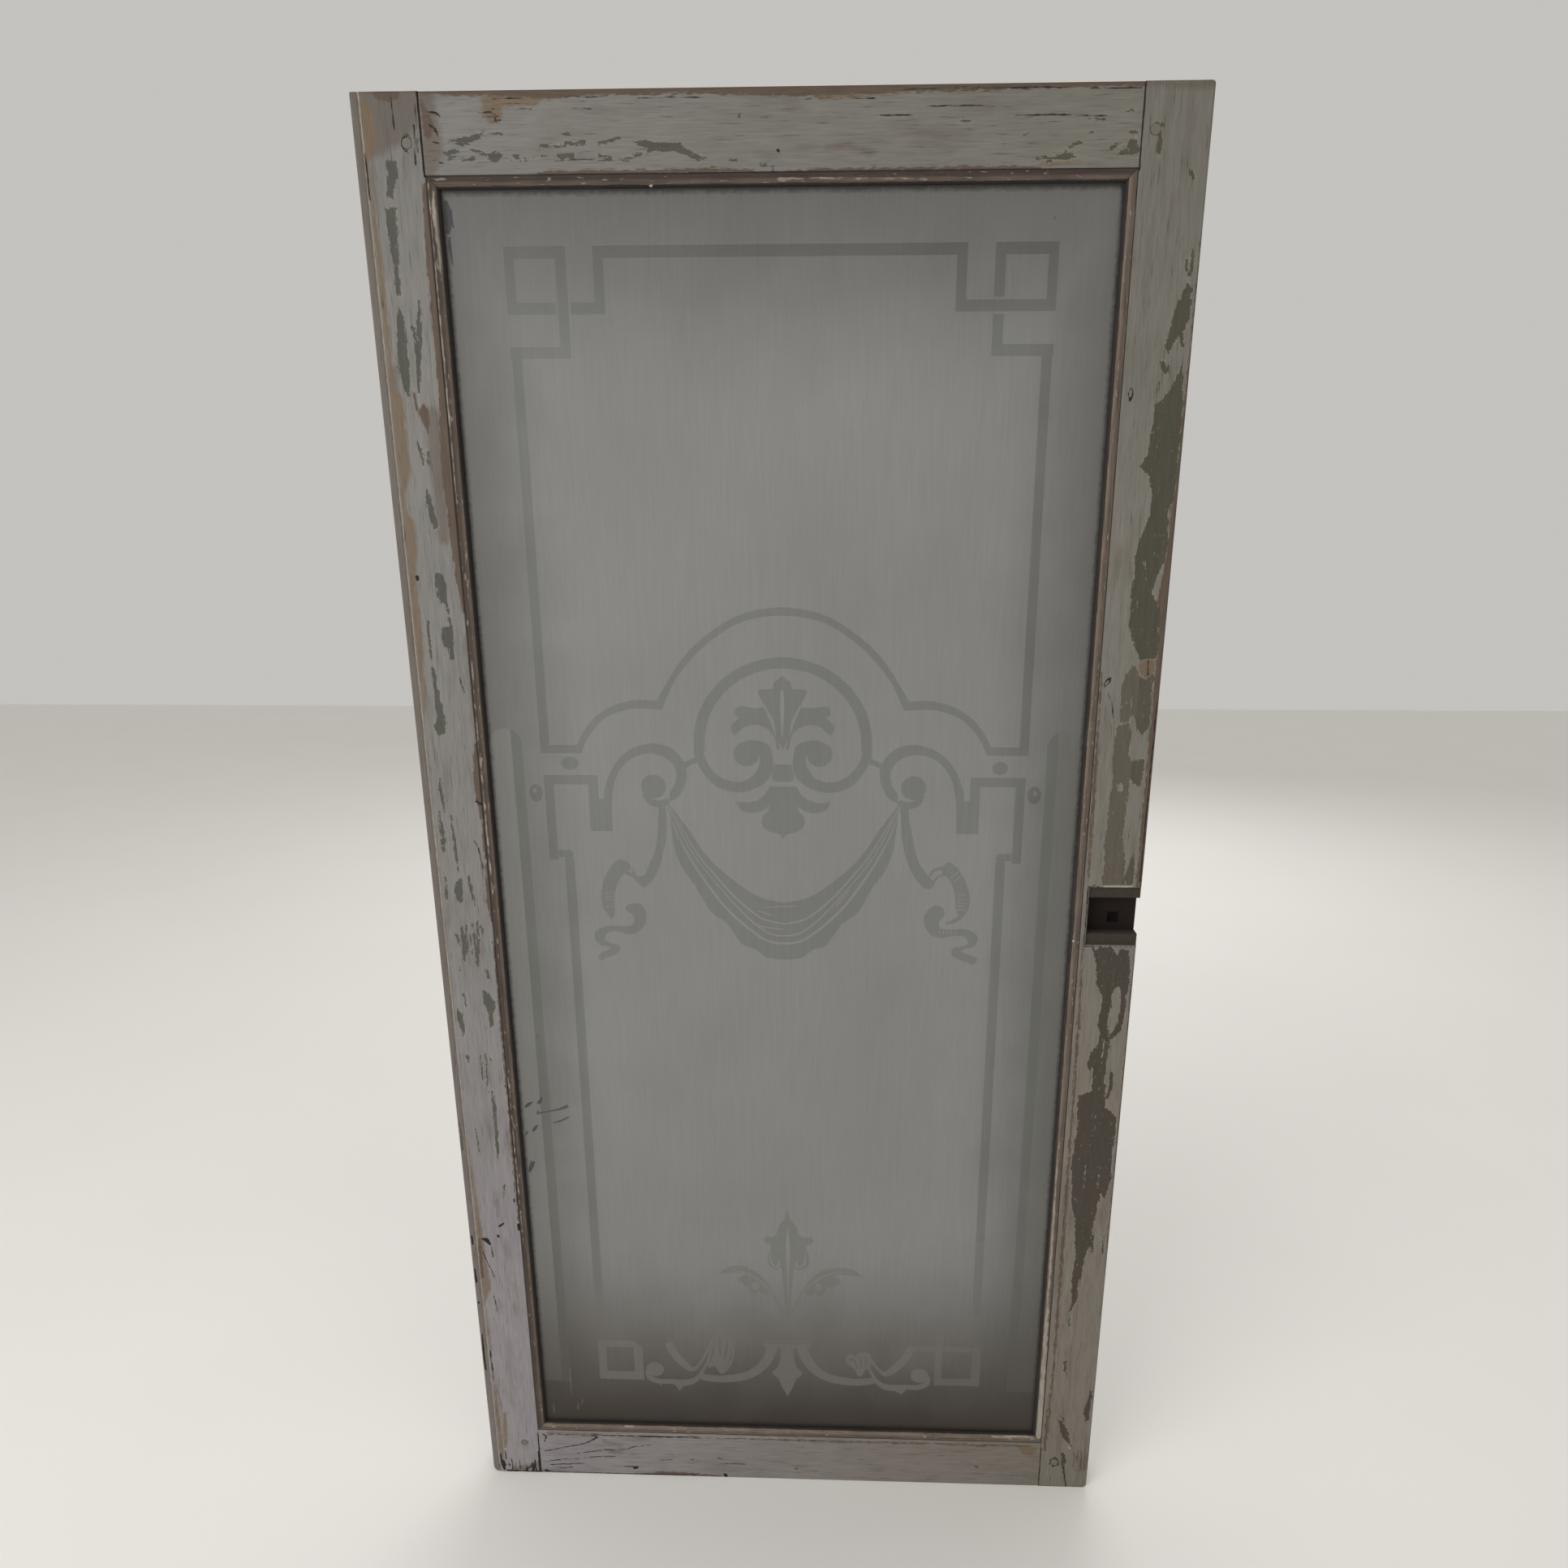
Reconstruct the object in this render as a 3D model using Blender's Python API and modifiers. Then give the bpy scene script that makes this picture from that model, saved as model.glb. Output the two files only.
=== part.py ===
# Frosted glass window sash: a pine frame of two stiles and two rails, pegged at its corners,
# with an etched pane that four nailed beads hold against a lip at the back.
# Metres, +Z up, front towards -Y. The origin is the middle of the sill edge.

import math

import bmesh
import bpy
from mathutils import Vector

# Frame
SASH_WIDTH = 0.735
SASH_HEIGHT = 1.485
SASH_DEPTH = 0.040
LEFT_STILE_FACE = 0.0605
RIGHT_STILE_FACE = 0.0587
TOP_RAIL_FACE = 0.0634
BOTTOM_RAIL_FACE = 0.0651
ARRIS = 0.0009
JOINT_GAP = 0.0003

# Worn outer edges and corners, as radii
LEFT_EDGE_ROUND = 0.0035
RIGHT_EDGE_ROUND = 0.0024
RAIL_EDGE_ROUND = 0.0014
TOP_LEFT_CORNER = 0.0015
TOP_RIGHT_CORNER = 0.0035
BOTTOM_LEFT_CORNER = 0.010
BOTTOM_RIGHT_CORNER = 0.006

# Narrow quirk cut down the hinge side, which leaves a small bead along the outer edge
QUIRK_INSET = 0.0078
QUIRK_WIDTH = 0.0016
QUIRK_DEPTH = 0.0018

# Glass, its rebate and the moulded lip behind it
GLASS_THICKNESS = 0.003
GLASS_SETBACK = 0.0077
GLASS_EDGE_CLEARANCE = 0.0014
GLASS_ARRIS = 0.0004
LIP_WIDTH = 0.009
BACK_CHAMFER = 0.006

# Glazing beads
BEAD_WIDTH = 0.0097
BEAD_DROP = 0.0006
BEAD_LAND = 0.0028
BEAD_FILLET = 0.0018

# Mortise and tenon joints
TENON_THICKNESS = 0.013
TENON_SETBACK = 0.0138
TENON_LENGTH = 0.042
TENON_HAUNCH = 0.012
MORTISE_END_CLEARANCE = 0.0015

# Pegs through the joints: distance from the joint line, and from the sash's end
PEG_DIAMETER = 0.0086
PEG_LENGTH = 0.031
PEG_PROUD = 0.0002
PEG_SIDES = 12
PEG_PLACES = {
    "peg_top_left": (0.0136, 0.0388),
    "peg_top_right": (0.0113, 0.0354),
    "peg_bottom_left": (0.0178, 0.0457),
    "peg_bottom_right": (0.0172, 0.0377),
}

# Lock housing in the right stile, open at its outer edge
LOCK_HEIGHT = 0.7439
PLATE_RECESS_TALL = 0.0636
PLATE_RECESS_WIDE = 0.0530
PLATE_RECESS_DEEP = 0.003
LOCK_POCKET_TALL = 0.0395
LOCK_POCKET_WIDE = 0.0520
LOCK_POCKET_DEEP = 0.0165
SPINDLE_HOLE = 0.0122
SPINDLE_HOLE_DEEP = 0.009
SPINDLE_INSET = 0.0226
SPINDLE_DROP = 0.0067

ARC_STEPS = 4
OVERCUT = 0.004

# Levels that several pieces share
FRONT = -SASH_DEPTH / 2
BACK = SASH_DEPTH / 2
GLASS_FRONT = FRONT + GLASS_SETBACK
GLASS_BACK = GLASS_FRONT + GLASS_THICKNESS
REBATE_DEPTH = GLASS_SETBACK + GLASS_THICKNESS + JOINT_GAP
OPENING_LEFT = -SASH_WIDTH / 2 + LEFT_STILE_FACE
OPENING_RIGHT = SASH_WIDTH / 2 - RIGHT_STILE_FACE
OPENING_BOTTOM = BOTTOM_RAIL_FACE
OPENING_TOP = SASH_HEIGHT - TOP_RAIL_FACE
OPENING_WIDTH = OPENING_RIGHT - OPENING_LEFT
OPENING_HEIGHT = OPENING_TOP - OPENING_BOTTOM
OPENING_MIDDLE_X = (OPENING_LEFT + OPENING_RIGHT) / 2
OPENING_MIDDLE_Z = (OPENING_BOTTOM + OPENING_TOP) / 2
TENON_FRONT = FRONT + TENON_SETBACK
TENON_BACK = TENON_FRONT + TENON_THICKNESS

# Turns about Y that point a section's inward side into the opening
INWARD_FROM_LEFT = 0.0
INWARD_FROM_BOTTOM = -math.pi / 2
INWARD_FROM_RIGHT = math.pi
INWARD_FROM_TOP = math.pi / 2


def clear_scene():
    for obj in list(bpy.data.objects):
        bpy.data.objects.remove(obj)


def new_collection(name):
    collection = bpy.data.collections.new(name)
    bpy.context.scene.collection.children.link(collection)
    return collection


def new_material(name, color, roughness, alpha=1.0):
    material = bpy.data.materials.new(name)
    material.use_nodes = True
    shader = material.node_tree.nodes["Principled BSDF"]
    shader.inputs["Base Color"].default_value = (*color, 1.0)
    shader.inputs["Roughness"].default_value = roughness
    shader.inputs["Metallic"].default_value = 0.0
    shader.inputs["Alpha"].default_value = alpha
    return material


def arc(center_u, center_v, radius, start_degrees, end_degrees, steps=ARC_STEPS):
    points = []
    for step in range(steps + 1):
        angle = math.radians(start_degrees + (end_degrees - start_degrees) * step / steps)
        points.append((center_u + radius * math.cos(angle), center_v + radius * math.sin(angle)))
    return points


def extruded(name, outline, length, collection):
    # A closed flat outline, extruded along local Z and centred on it
    curve = bpy.data.curves.new(name, "CURVE")
    curve.dimensions = "2D"
    curve.fill_mode = "BOTH"
    curve.extrude = length / 2
    spline = curve.splines.new("POLY")
    spline.points.add(len(outline) - 1)
    for point, (u, v) in zip(spline.points, outline):
        point.co = (u, v, 0.0, 1.0)
    spline.use_cyclic_u = True
    outline_object = bpy.data.objects.new(name + "_outline", curve)
    bpy.context.scene.collection.objects.link(outline_object)
    bpy.context.view_layer.update()
    evaluated = outline_object.evaluated_get(bpy.context.evaluated_depsgraph_get())
    mesh = bpy.data.meshes.new_from_object(evaluated)
    bpy.data.objects.remove(outline_object)
    shape = bmesh.new()
    shape.from_mesh(mesh)
    bmesh.ops.remove_doubles(shape, verts=shape.verts, dist=1e-6)
    bmesh.ops.recalc_face_normals(shape, faces=shape.faces)
    shape.to_mesh(mesh)
    shape.free()
    mesh.name = name
    solid = bpy.data.objects.new(name, mesh)
    collection.objects.link(solid)
    return solid


def box(name, xs, ys, zs, collection):
    # Each pair gives two opposite sides, in either order
    low = Vector((min(xs), min(ys), min(zs)))
    high = Vector((max(xs), max(ys), max(zs)))
    shape = bmesh.new()
    bmesh.ops.create_cube(shape, size=1.0)
    bmesh.ops.scale(shape, vec=high - low, verts=shape.verts)
    mesh = bpy.data.meshes.new(name)
    shape.to_mesh(mesh)
    shape.free()
    solid = bpy.data.objects.new(name, mesh)
    solid.location = (low + high) / 2
    collection.objects.link(solid)
    return solid


def round_bar(name, diameter, ys, x, z, collection):
    # A straight pin along Y
    front, back = ys
    radius = diameter / 2
    shape = bmesh.new()
    bmesh.ops.create_cone(
        shape, cap_ends=True, segments=PEG_SIDES, radius1=radius, radius2=radius, depth=back - front
    )
    mesh = bpy.data.meshes.new(name)
    shape.to_mesh(mesh)
    shape.free()
    solid = bpy.data.objects.new(name, mesh)
    solid.rotation_euler = (math.pi / 2, 0.0, 0.0)
    solid.location = (x, (front + back) / 2, z)
    collection.objects.link(solid)
    return solid


def as_cutter(solid):
    solid.hide_render = True
    solid.display_type = "WIRE"
    return solid


def apply_boolean(solid, other, operation="DIFFERENCE"):
    modifier = solid.modifiers.new(f"{operation.lower()}_{other.name}", "BOOLEAN")
    modifier.operation = operation
    modifier.solver = "EXACT"
    modifier.object = other


def member_section(face, edge_round, with_quirk):
    # u runs from the outer edge into the opening, v from the front face to the back
    outline = [(0.0, SASH_DEPTH - ARRIS)]
    outline += arc(edge_round, edge_round, edge_round, 180, 270)
    if with_quirk:
        outline += [
            (QUIRK_INSET - QUIRK_WIDTH / 2, 0.0),
            (QUIRK_INSET, QUIRK_DEPTH),
            (QUIRK_INSET + QUIRK_WIDTH / 2, 0.0),
        ]
    outline += arc(face - ARRIS, ARRIS, ARRIS, 270, 360)
    outline += [
        (face, REBATE_DEPTH),
        (face + LIP_WIDTH, REBATE_DEPTH),
        (face + LIP_WIDTH, SASH_DEPTH),
        (ARRIS, SASH_DEPTH),
    ]
    return outline


def bead_section():
    # A flat land at the rebate's wall, then a quarter round down to a fillet on the glass
    foot = GLASS_SETBACK - JOINT_GAP
    shoulder = foot - BEAD_FILLET
    outline = [(JOINT_GAP, foot), (JOINT_GAP, BEAD_DROP)]
    steps = 2 * ARC_STEPS
    for step in range(steps + 1):
        angle = math.pi / 2 * step / steps
        across = BEAD_LAND + (BEAD_WIDTH - BEAD_LAND) * math.sin(angle)
        down = shoulder - (shoulder - BEAD_DROP) * math.cos(angle)
        outline.append((across, down))
    outline.append((BEAD_WIDTH, foot))
    return outline


def tenon_levels(rail_face, end_of_sash, inward):
    # Outer and inner edge of a rail's tenon
    return end_of_sash + inward * TENON_HAUNCH, end_of_sash + inward * rail_face


def stile(name, face, edge_round, turn, edge_x, with_quirk, collection):
    solid = extruded(name, member_section(face, edge_round, with_quirk), SASH_HEIGHT, collection)
    solid.rotation_euler = (0.0, turn, 0.0)
    solid.location = (edge_x, FRONT, SASH_HEIGHT / 2)
    return solid


def rail(name, face, turn, edge_z, inward, collection, cutters):
    length = OPENING_WIDTH - 2 * JOINT_GAP
    solid = extruded(name, member_section(face, RAIL_EDGE_ROUND, False), length, collection)
    solid.rotation_euler = (0.0, turn, 0.0)
    solid.location = (OPENING_MIDDLE_X, FRONT, edge_z)
    behind_rebate = (FRONT + REBATE_DEPTH - JOINT_GAP, BACK + OVERCUT)
    full_height = (edge_z - inward * OVERCUT, edge_z + inward * (face + LIP_WIDTH + OVERCUT))
    for side, shoulder in ((-1, OPENING_LEFT), (1, OPENING_RIGHT)):
        # Behind the rebate the rail stops at the stile's lip, and the tenon runs on
        lip = shoulder - side * (LIP_WIDTH + JOINT_GAP)
        notch_xs = (lip, shoulder + side * OVERCUT)
        notch = box(f"{name}_notch_{side}", notch_xs, behind_rebate, full_height, cutters)
        apply_boolean(solid, as_cutter(notch))
        tenon_xs = (lip - side * OVERCUT, shoulder + side * TENON_LENGTH)
        levels = tenon_levels(face, edge_z, inward)
        tenon = box(f"{name}_tenon_{side}", tenon_xs, (TENON_FRONT, TENON_BACK), levels, cutters)
        apply_boolean(solid, as_cutter(tenon), "UNION")
    return solid


def cut_mortises(solid, side, shoulder, cutters):
    mouth = shoulder - side * (LIP_WIDTH + OVERCUT)
    floor = shoulder + side * (TENON_LENGTH + MORTISE_END_CLEARANCE)
    depths = (TENON_FRONT - JOINT_GAP, TENON_BACK + JOINT_GAP)
    for name, face, edge_z, inward in (
        ("top", TOP_RAIL_FACE, SASH_HEIGHT, -1),
        ("bottom", BOTTOM_RAIL_FACE, 0.0, 1),
    ):
        outer, inner = tenon_levels(face, edge_z, inward)
        levels = (outer - inward * JOINT_GAP, inner + inward * JOINT_GAP)
        mortise = box(f"{solid.name}_mortise_{name}", (mouth, floor), depths, levels, cutters)
        apply_boolean(solid, as_cutter(mortise))


def corner_cutter(name, side, end_z, inward, radius, cutters):
    # What is left outside a quarter circle at one corner of the sash, drawn in the XZ plane
    edge_x = side * SASH_WIDTH / 2
    center_x = edge_x - side * radius
    center_z = end_z + inward * radius
    outline = []
    steps = 2 * ARC_STEPS
    for step in range(steps + 1):
        angle = math.pi / 2 * step / steps
        across = side * radius * math.cos(angle)
        up = -inward * radius * math.sin(angle)
        outline.append((center_x + across, center_z + up))
    outline += [
        (center_x, end_z - inward * OVERCUT),
        (edge_x + side * OVERCUT, end_z - inward * OVERCUT),
        (edge_x + side * OVERCUT, center_z),
    ]
    solid = extruded(name, outline, SASH_DEPTH + 2 * OVERCUT, cutters)
    solid.rotation_euler = (math.pi / 2, 0.0, 0.0)
    return as_cutter(solid)


def flare_cutter(cutters):
    # Widens the opening towards the back, for a chamfer round the lip
    shape = bmesh.new()
    bmesh.ops.create_cube(shape, size=1.0)
    depth = BACK_CHAMFER + 2 * OVERCUT
    for vert in shape.verts:
        spread = BACK_CHAMFER + OVERCUT if vert.co.y > 0 else -OVERCUT
        vert.co.x *= OPENING_WIDTH - 2 * LIP_WIDTH + 2 * spread
        vert.co.z *= OPENING_HEIGHT - 2 * LIP_WIDTH + 2 * spread
        vert.co.y *= depth
    mesh = bpy.data.meshes.new("back_flare")
    shape.to_mesh(mesh)
    shape.free()
    solid = bpy.data.objects.new("back_flare", mesh)
    solid.location = (OPENING_MIDDLE_X, BACK - BACK_CHAMFER / 2, OPENING_MIDDLE_Z)
    cutters.objects.link(solid)
    return as_cutter(solid)


def cut_lock_housing(solid, cutters):
    edge = SASH_WIDTH / 2
    spindle_x = edge - SPINDLE_INSET
    spindle_z = LOCK_HEIGHT - SPINDLE_DROP
    recess_xs = (edge - PLATE_RECESS_WIDE, edge + OVERCUT)
    pocket_xs = (edge - LOCK_POCKET_WIDE, edge + OVERCUT)
    hole_xs = (spindle_x - SPINDLE_HOLE / 2, spindle_x + SPINDLE_HOLE / 2)
    hole_depth = LOCK_POCKET_DEEP + SPINDLE_HOLE_DEEP
    for name, xs, middle_z, tall, deep in (
        ("plate_recess", recess_xs, LOCK_HEIGHT, PLATE_RECESS_TALL, PLATE_RECESS_DEEP),
        ("lock_pocket", pocket_xs, LOCK_HEIGHT, LOCK_POCKET_TALL, LOCK_POCKET_DEEP),
        ("spindle_hole", hole_xs, spindle_z, SPINDLE_HOLE, hole_depth),
    ):
        ys = (FRONT - OVERCUT, FRONT + deep)
        cutter = box(name, xs, ys, (middle_z - tall / 2, middle_z + tall / 2), cutters)
        apply_boolean(solid, as_cutter(cutter))


def peg_place(name):
    from_joint, from_end = PEG_PLACES[name]
    x = OPENING_LEFT - from_joint if name.endswith("left") else OPENING_RIGHT + from_joint
    z = SASH_HEIGHT - from_end if "top" in name else from_end
    return x, z


def add_pegs(members, collection, cutters):
    pegs = []
    for name in PEG_PLACES:
        x, z = peg_place(name)
        stile_name = "left_stile" if name.endswith("left") else "right_stile"
        rail_name = "top_rail" if "top" in name else "bottom_rail"
        driven = (FRONT - PEG_PROUD, FRONT + PEG_LENGTH)
        pegs.append(round_bar(name, PEG_DIAMETER, driven, x, z, collection))
        bored = (FRONT - OVERCUT, FRONT + PEG_LENGTH + JOINT_GAP)
        hole = round_bar(f"{name}_hole", PEG_DIAMETER + 2 * JOINT_GAP, bored, x, z, cutters)
        as_cutter(hole)
        apply_boolean(members[stile_name], hole)
        apply_boolean(members[rail_name], hole)
    return pegs


def add_glass(collection):
    margin = GLASS_EDGE_CLEARANCE
    pane = box(
        "glass_pane",
        (OPENING_LEFT + margin, OPENING_RIGHT - margin),
        (GLASS_FRONT, GLASS_BACK),
        (OPENING_BOTTOM + margin, OPENING_TOP - margin),
        collection,
    )
    seamed = pane.modifiers.new("seamed_edges", "BEVEL")
    seamed.width = GLASS_ARRIS
    seamed.segments = 1
    return pane


def add_bead(name, run, turn, x, z, collection):
    # The section's ends are drawn back by their inward distance, for a mitre at 45 degrees
    bead = extruded(name, bead_section(), run - JOINT_GAP, collection)
    for vert in bead.data.vertices:
        vert.co.z -= math.copysign(vert.co.x, vert.co.z)
    bead.rotation_euler = (0.0, turn, 0.0)
    bead.location = (x, FRONT, z)
    return bead


def add_beads(collection):
    beads = []
    for name, run, turn, x, z in (
        ("bead_left", OPENING_HEIGHT, INWARD_FROM_LEFT, OPENING_LEFT, OPENING_MIDDLE_Z),
        ("bead_bottom", OPENING_WIDTH, INWARD_FROM_BOTTOM, OPENING_MIDDLE_X, OPENING_BOTTOM),
        ("bead_right", OPENING_HEIGHT, INWARD_FROM_RIGHT, OPENING_RIGHT, OPENING_MIDDLE_Z),
        ("bead_top", OPENING_WIDTH, INWARD_FROM_TOP, OPENING_MIDDLE_X, OPENING_TOP),
    ):
        beads.append(add_bead(name, run, turn, x, z, collection))
    return beads


def build():
    clear_scene()
    sash = new_collection("frosted_glass_window")
    cutters = new_collection("cutters")

    left = stile(
        "left_stile", LEFT_STILE_FACE, LEFT_EDGE_ROUND, INWARD_FROM_LEFT, -SASH_WIDTH / 2, True, sash
    )
    right = stile(
        "right_stile", RIGHT_STILE_FACE, RIGHT_EDGE_ROUND, INWARD_FROM_RIGHT, SASH_WIDTH / 2, False, sash
    )
    top = rail("top_rail", TOP_RAIL_FACE, INWARD_FROM_TOP, SASH_HEIGHT, -1, sash, cutters)
    bottom = rail("bottom_rail", BOTTOM_RAIL_FACE, INWARD_FROM_BOTTOM, 0.0, 1, sash, cutters)
    members = {"left_stile": left, "right_stile": right, "top_rail": top, "bottom_rail": bottom}

    cut_mortises(left, -1, OPENING_LEFT, cutters)
    cut_mortises(right, 1, OPENING_RIGHT, cutters)
    for solid, name, side, end_z, inward, radius in (
        (left, "corner_top_left", -1, SASH_HEIGHT, -1, TOP_LEFT_CORNER),
        (left, "corner_bottom_left", -1, 0.0, 1, BOTTOM_LEFT_CORNER),
        (right, "corner_top_right", 1, SASH_HEIGHT, -1, TOP_RIGHT_CORNER),
        (right, "corner_bottom_right", 1, 0.0, 1, BOTTOM_RIGHT_CORNER),
    ):
        apply_boolean(solid, corner_cutter(name, side, end_z, inward, radius, cutters))
    cut_lock_housing(right, cutters)
    pegs = add_pegs(members, sash, cutters)
    flare = flare_cutter(cutters)
    for member in members.values():
        apply_boolean(member, flare)

    pane = add_glass(sash)
    beads = add_beads(sash)

    finishes = {
        "grey_paint_left": ([left], (0.235, 0.220, 0.195), 0.6),
        "grey_paint_right": ([right], (0.205, 0.195, 0.170), 0.6),
        "grey_paint_top": ([top], (0.225, 0.212, 0.188), 0.6),
        "grey_paint_bottom": ([bottom], (0.215, 0.200, 0.180), 0.6),
        "bare_pine": (beads, (0.110, 0.075, 0.052), 0.7),
        "peg_oak": (pegs, (0.170, 0.150, 0.120), 0.7),
    }
    for name, (solids, color, roughness) in finishes.items():
        for solid in solids:
            solid.data.materials.append(new_material(f"{name}_{solid.name}", color, roughness))
    pane.data.materials.append(new_material("etched_glass", (0.215, 0.220, 0.200), 0.35, alpha=0.8))


build()
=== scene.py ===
import math

import bmesh
import bpy
import numpy as np
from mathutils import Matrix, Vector
from mathutils.bvhtree import BVHTree
from mathutils.geometry import delaunay_2d_cdt


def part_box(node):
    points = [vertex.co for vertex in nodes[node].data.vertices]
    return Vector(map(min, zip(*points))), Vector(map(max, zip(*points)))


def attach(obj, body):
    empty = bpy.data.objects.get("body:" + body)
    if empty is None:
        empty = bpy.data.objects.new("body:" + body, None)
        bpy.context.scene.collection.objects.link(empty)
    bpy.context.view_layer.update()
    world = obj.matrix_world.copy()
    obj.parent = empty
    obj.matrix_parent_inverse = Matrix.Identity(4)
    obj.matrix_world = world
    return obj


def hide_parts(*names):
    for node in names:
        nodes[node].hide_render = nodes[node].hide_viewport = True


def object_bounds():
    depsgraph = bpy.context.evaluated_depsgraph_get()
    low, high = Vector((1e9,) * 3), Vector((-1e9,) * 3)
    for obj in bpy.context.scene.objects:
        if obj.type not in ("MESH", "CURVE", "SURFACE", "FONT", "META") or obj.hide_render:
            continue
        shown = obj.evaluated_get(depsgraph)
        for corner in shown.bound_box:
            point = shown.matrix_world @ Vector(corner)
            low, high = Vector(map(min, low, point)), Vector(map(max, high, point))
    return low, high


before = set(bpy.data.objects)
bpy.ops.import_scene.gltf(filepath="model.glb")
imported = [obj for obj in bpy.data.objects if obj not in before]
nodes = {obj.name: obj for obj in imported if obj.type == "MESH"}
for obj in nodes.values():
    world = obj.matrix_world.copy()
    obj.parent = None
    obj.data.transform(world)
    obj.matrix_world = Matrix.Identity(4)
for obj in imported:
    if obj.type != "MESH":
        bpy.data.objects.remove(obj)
cadLow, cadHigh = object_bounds()
bpy.context.scene.view_settings.view_transform = "Standard"

# Marks on the wood are written on a 620 x 1300 board, from its top left corner
boardX = (cadHigh.x - cadLow.x) / 620
boardZ = (cadHigh.z - cadLow.z) / 1300
# Ornament on the pane is written from the middle of the sill, x to the right and z up
paneX = 0.0011865
paneZ = 0.0011434
print("stage 1: frame loaded", tuple(cadLow), tuple(cadHigh))


def srgb(hexColour, alpha=1.0):
    parts = [int(hexColour[i : i + 2], 16) / 255 for i in (1, 3, 5)]
    return [p / 12.92 if p <= 0.04045 else ((p + 0.055) / 1.055) ** 2.4 for p in parts] + [alpha]


def addNode(tree, kind, inputs=None, **settings):
    node = tree.nodes.new(kind)
    for key, value in settings.items():
        setattr(node, key, value)
    for key, value in (inputs or {}).items():
        if isinstance(value, bpy.types.NodeSocket):
            tree.links.new(value, node.inputs[key])
        else:
            node.inputs[key].default_value = value
    return node


def newMaterial(name):
    material = bpy.data.materials.new(name)
    material.use_nodes = True
    return material, material.node_tree, material.node_tree.nodes["Principled BSDF"]


def newPiece(name, data):
    piece = bpy.data.objects.new(name, data)
    bpy.context.scene.collection.objects.link(piece)
    return piece


# Camera: where the photographer's lens stood, worked out from the leaf's four corners
cameraSettings = {
    "lens": 25.2886,
    "shift": (-0.014314, 0.05),
    "place": (0.06185, -1.0997, 1.13053),
    "turn": (72.96375, 0.05436, 1.96428),
}
cameraData = bpy.data.cameras.new("camera")
cameraData.lens = cameraSettings["lens"]
cameraData.shift_x, cameraData.shift_y = cameraSettings["shift"]
camera = newPiece("camera", cameraData)
camera.location = cameraSettings["place"]
camera.rotation_euler = [math.radians(a) for a in cameraSettings["turn"]]
bpy.context.scene.camera = camera

# Lights: one wide soft window-like source in front on the left, a weak fill, a pale surround
lightSettings = {
    "softKey": {"place": (-2.0, -2.4, 1.7), "size": 2.4, "power": 54},
    "lowFill": {"place": (2.2, -2.4, 1.0), "size": 2.0, "power": 10},
    "backFill": {"place": (0.5, 3.0, 2.4), "size": 2.4, "power": 36},
}
surroundSettings = {"colour": "#eceae6", "strength": 0.66}
leafMiddle = Vector((0, 0, 0.75))
for lightName, item in lightSettings.items():
    lightData = bpy.data.lights.new(lightName, "AREA")
    lightData.energy = item["power"]
    lightData.size = item["size"]
    light = newPiece(lightName, lightData)
    light.location = item["place"]
    light.rotation_euler = (leafMiddle - Vector(item["place"])).to_track_quat("-Z", "Y").to_euler()
world = bpy.data.worlds.new("paleRoom")
bpy.context.scene.world = world
world.use_nodes = True
surround = world.node_tree.nodes["Background"].inputs
surround["Color"].default_value = srgb(surroundSettings["colour"])
surround["Strength"].default_value = surroundSettings["strength"]

# Floor: plain pale matt board with the faintest cloudiness
floorSettings = {"half": 6.0, "colours": ("#f3f1ed", "#efede9"), "cloudScale": 3.0, "roughness": 0.8}
half = floorSettings["half"]
floorMesh = bpy.data.meshes.new("paleFloor")
floorMesh.from_pydata(
    [(-half, -half, 0), (half, -half, 0), (half, half, 0), (-half, half, 0)], [], [(0, 1, 2, 3)]
)
floorPiece = newPiece("paleFloor", floorMesh)
floorPaint, floorTree, floorShader = newMaterial("matt floor paint")
floorPlace = addNode(floorTree, "ShaderNodeTexCoord").outputs["Object"]
floorCloud = addNode(
    floorTree, "ShaderNodeTexNoise", {"Vector": floorPlace, "Scale": floorSettings["cloudScale"]}
)
floorLight, floorDark = [srgb(colour) for colour in floorSettings["colours"]]
floorMix = addNode(
    floorTree, "ShaderNodeMix", {0: floorCloud.outputs[0], 6: floorLight, 7: floorDark}, data_type="RGBA"
)
floorTree.links.new(floorMix.outputs[2], floorShader.inputs["Base Color"])
floorShader.inputs["Roughness"].default_value = floorSettings["roughness"]
floorMesh.materials.append(floorPaint)
print("stage 2: camera, lights and floor")


# Pane: outlines are smoothed and drawn one over another, later ones on top
def smoothLine(points, steps=5):
    closed = [points[0]] + list(points) + [points[-1]]
    line = []
    for a, b, c, d in zip(closed, closed[1:], closed[2:], closed[3:]):
        for i in range(steps):
            t = i / steps
            point = []
            for p, q, r, s in zip(a, b, c, d):
                slope = (r - p) * t
                bend = (2 * p - 5 * q + 4 * r - s) * t * t
                twist = (3 * q - p - 3 * r + s) * t**3
                point.append(0.5 * (2 * q + slope + bend + twist))
            line.append(tuple(point))
    line.append(tuple(points[-1]))
    return line


def taperBand(points, steps=5):
    line = smoothLine(points, steps)
    left, right = [], []
    for i, (x, z, half) in enumerate(line):
        before, after = line[max(i - 1, 0)], line[min(i + 1, len(line) - 1)]
        dx, dz = after[0] - before[0], after[1] - before[1]
        size = math.hypot(dx, dz) or 1.0
        left.append((x - dz / size * half, z + dx / size * half))
        right.append((x + dz / size * half, z - dx / size * half))
    return left + right[::-1]


def bar(x0, z0, x1, z1):
    return [(x0, z0), (x1, z0), (x1, z1), (x0, z1)]


def disc(x, z, rx, rz=None, sides=22):
    rz = rz or rx
    turns = [2 * math.pi * i / sides for i in range(sides)]
    return [(x + rx * math.cos(a), z + rz * math.sin(a)) for a in turns]


shapes = []


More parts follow.
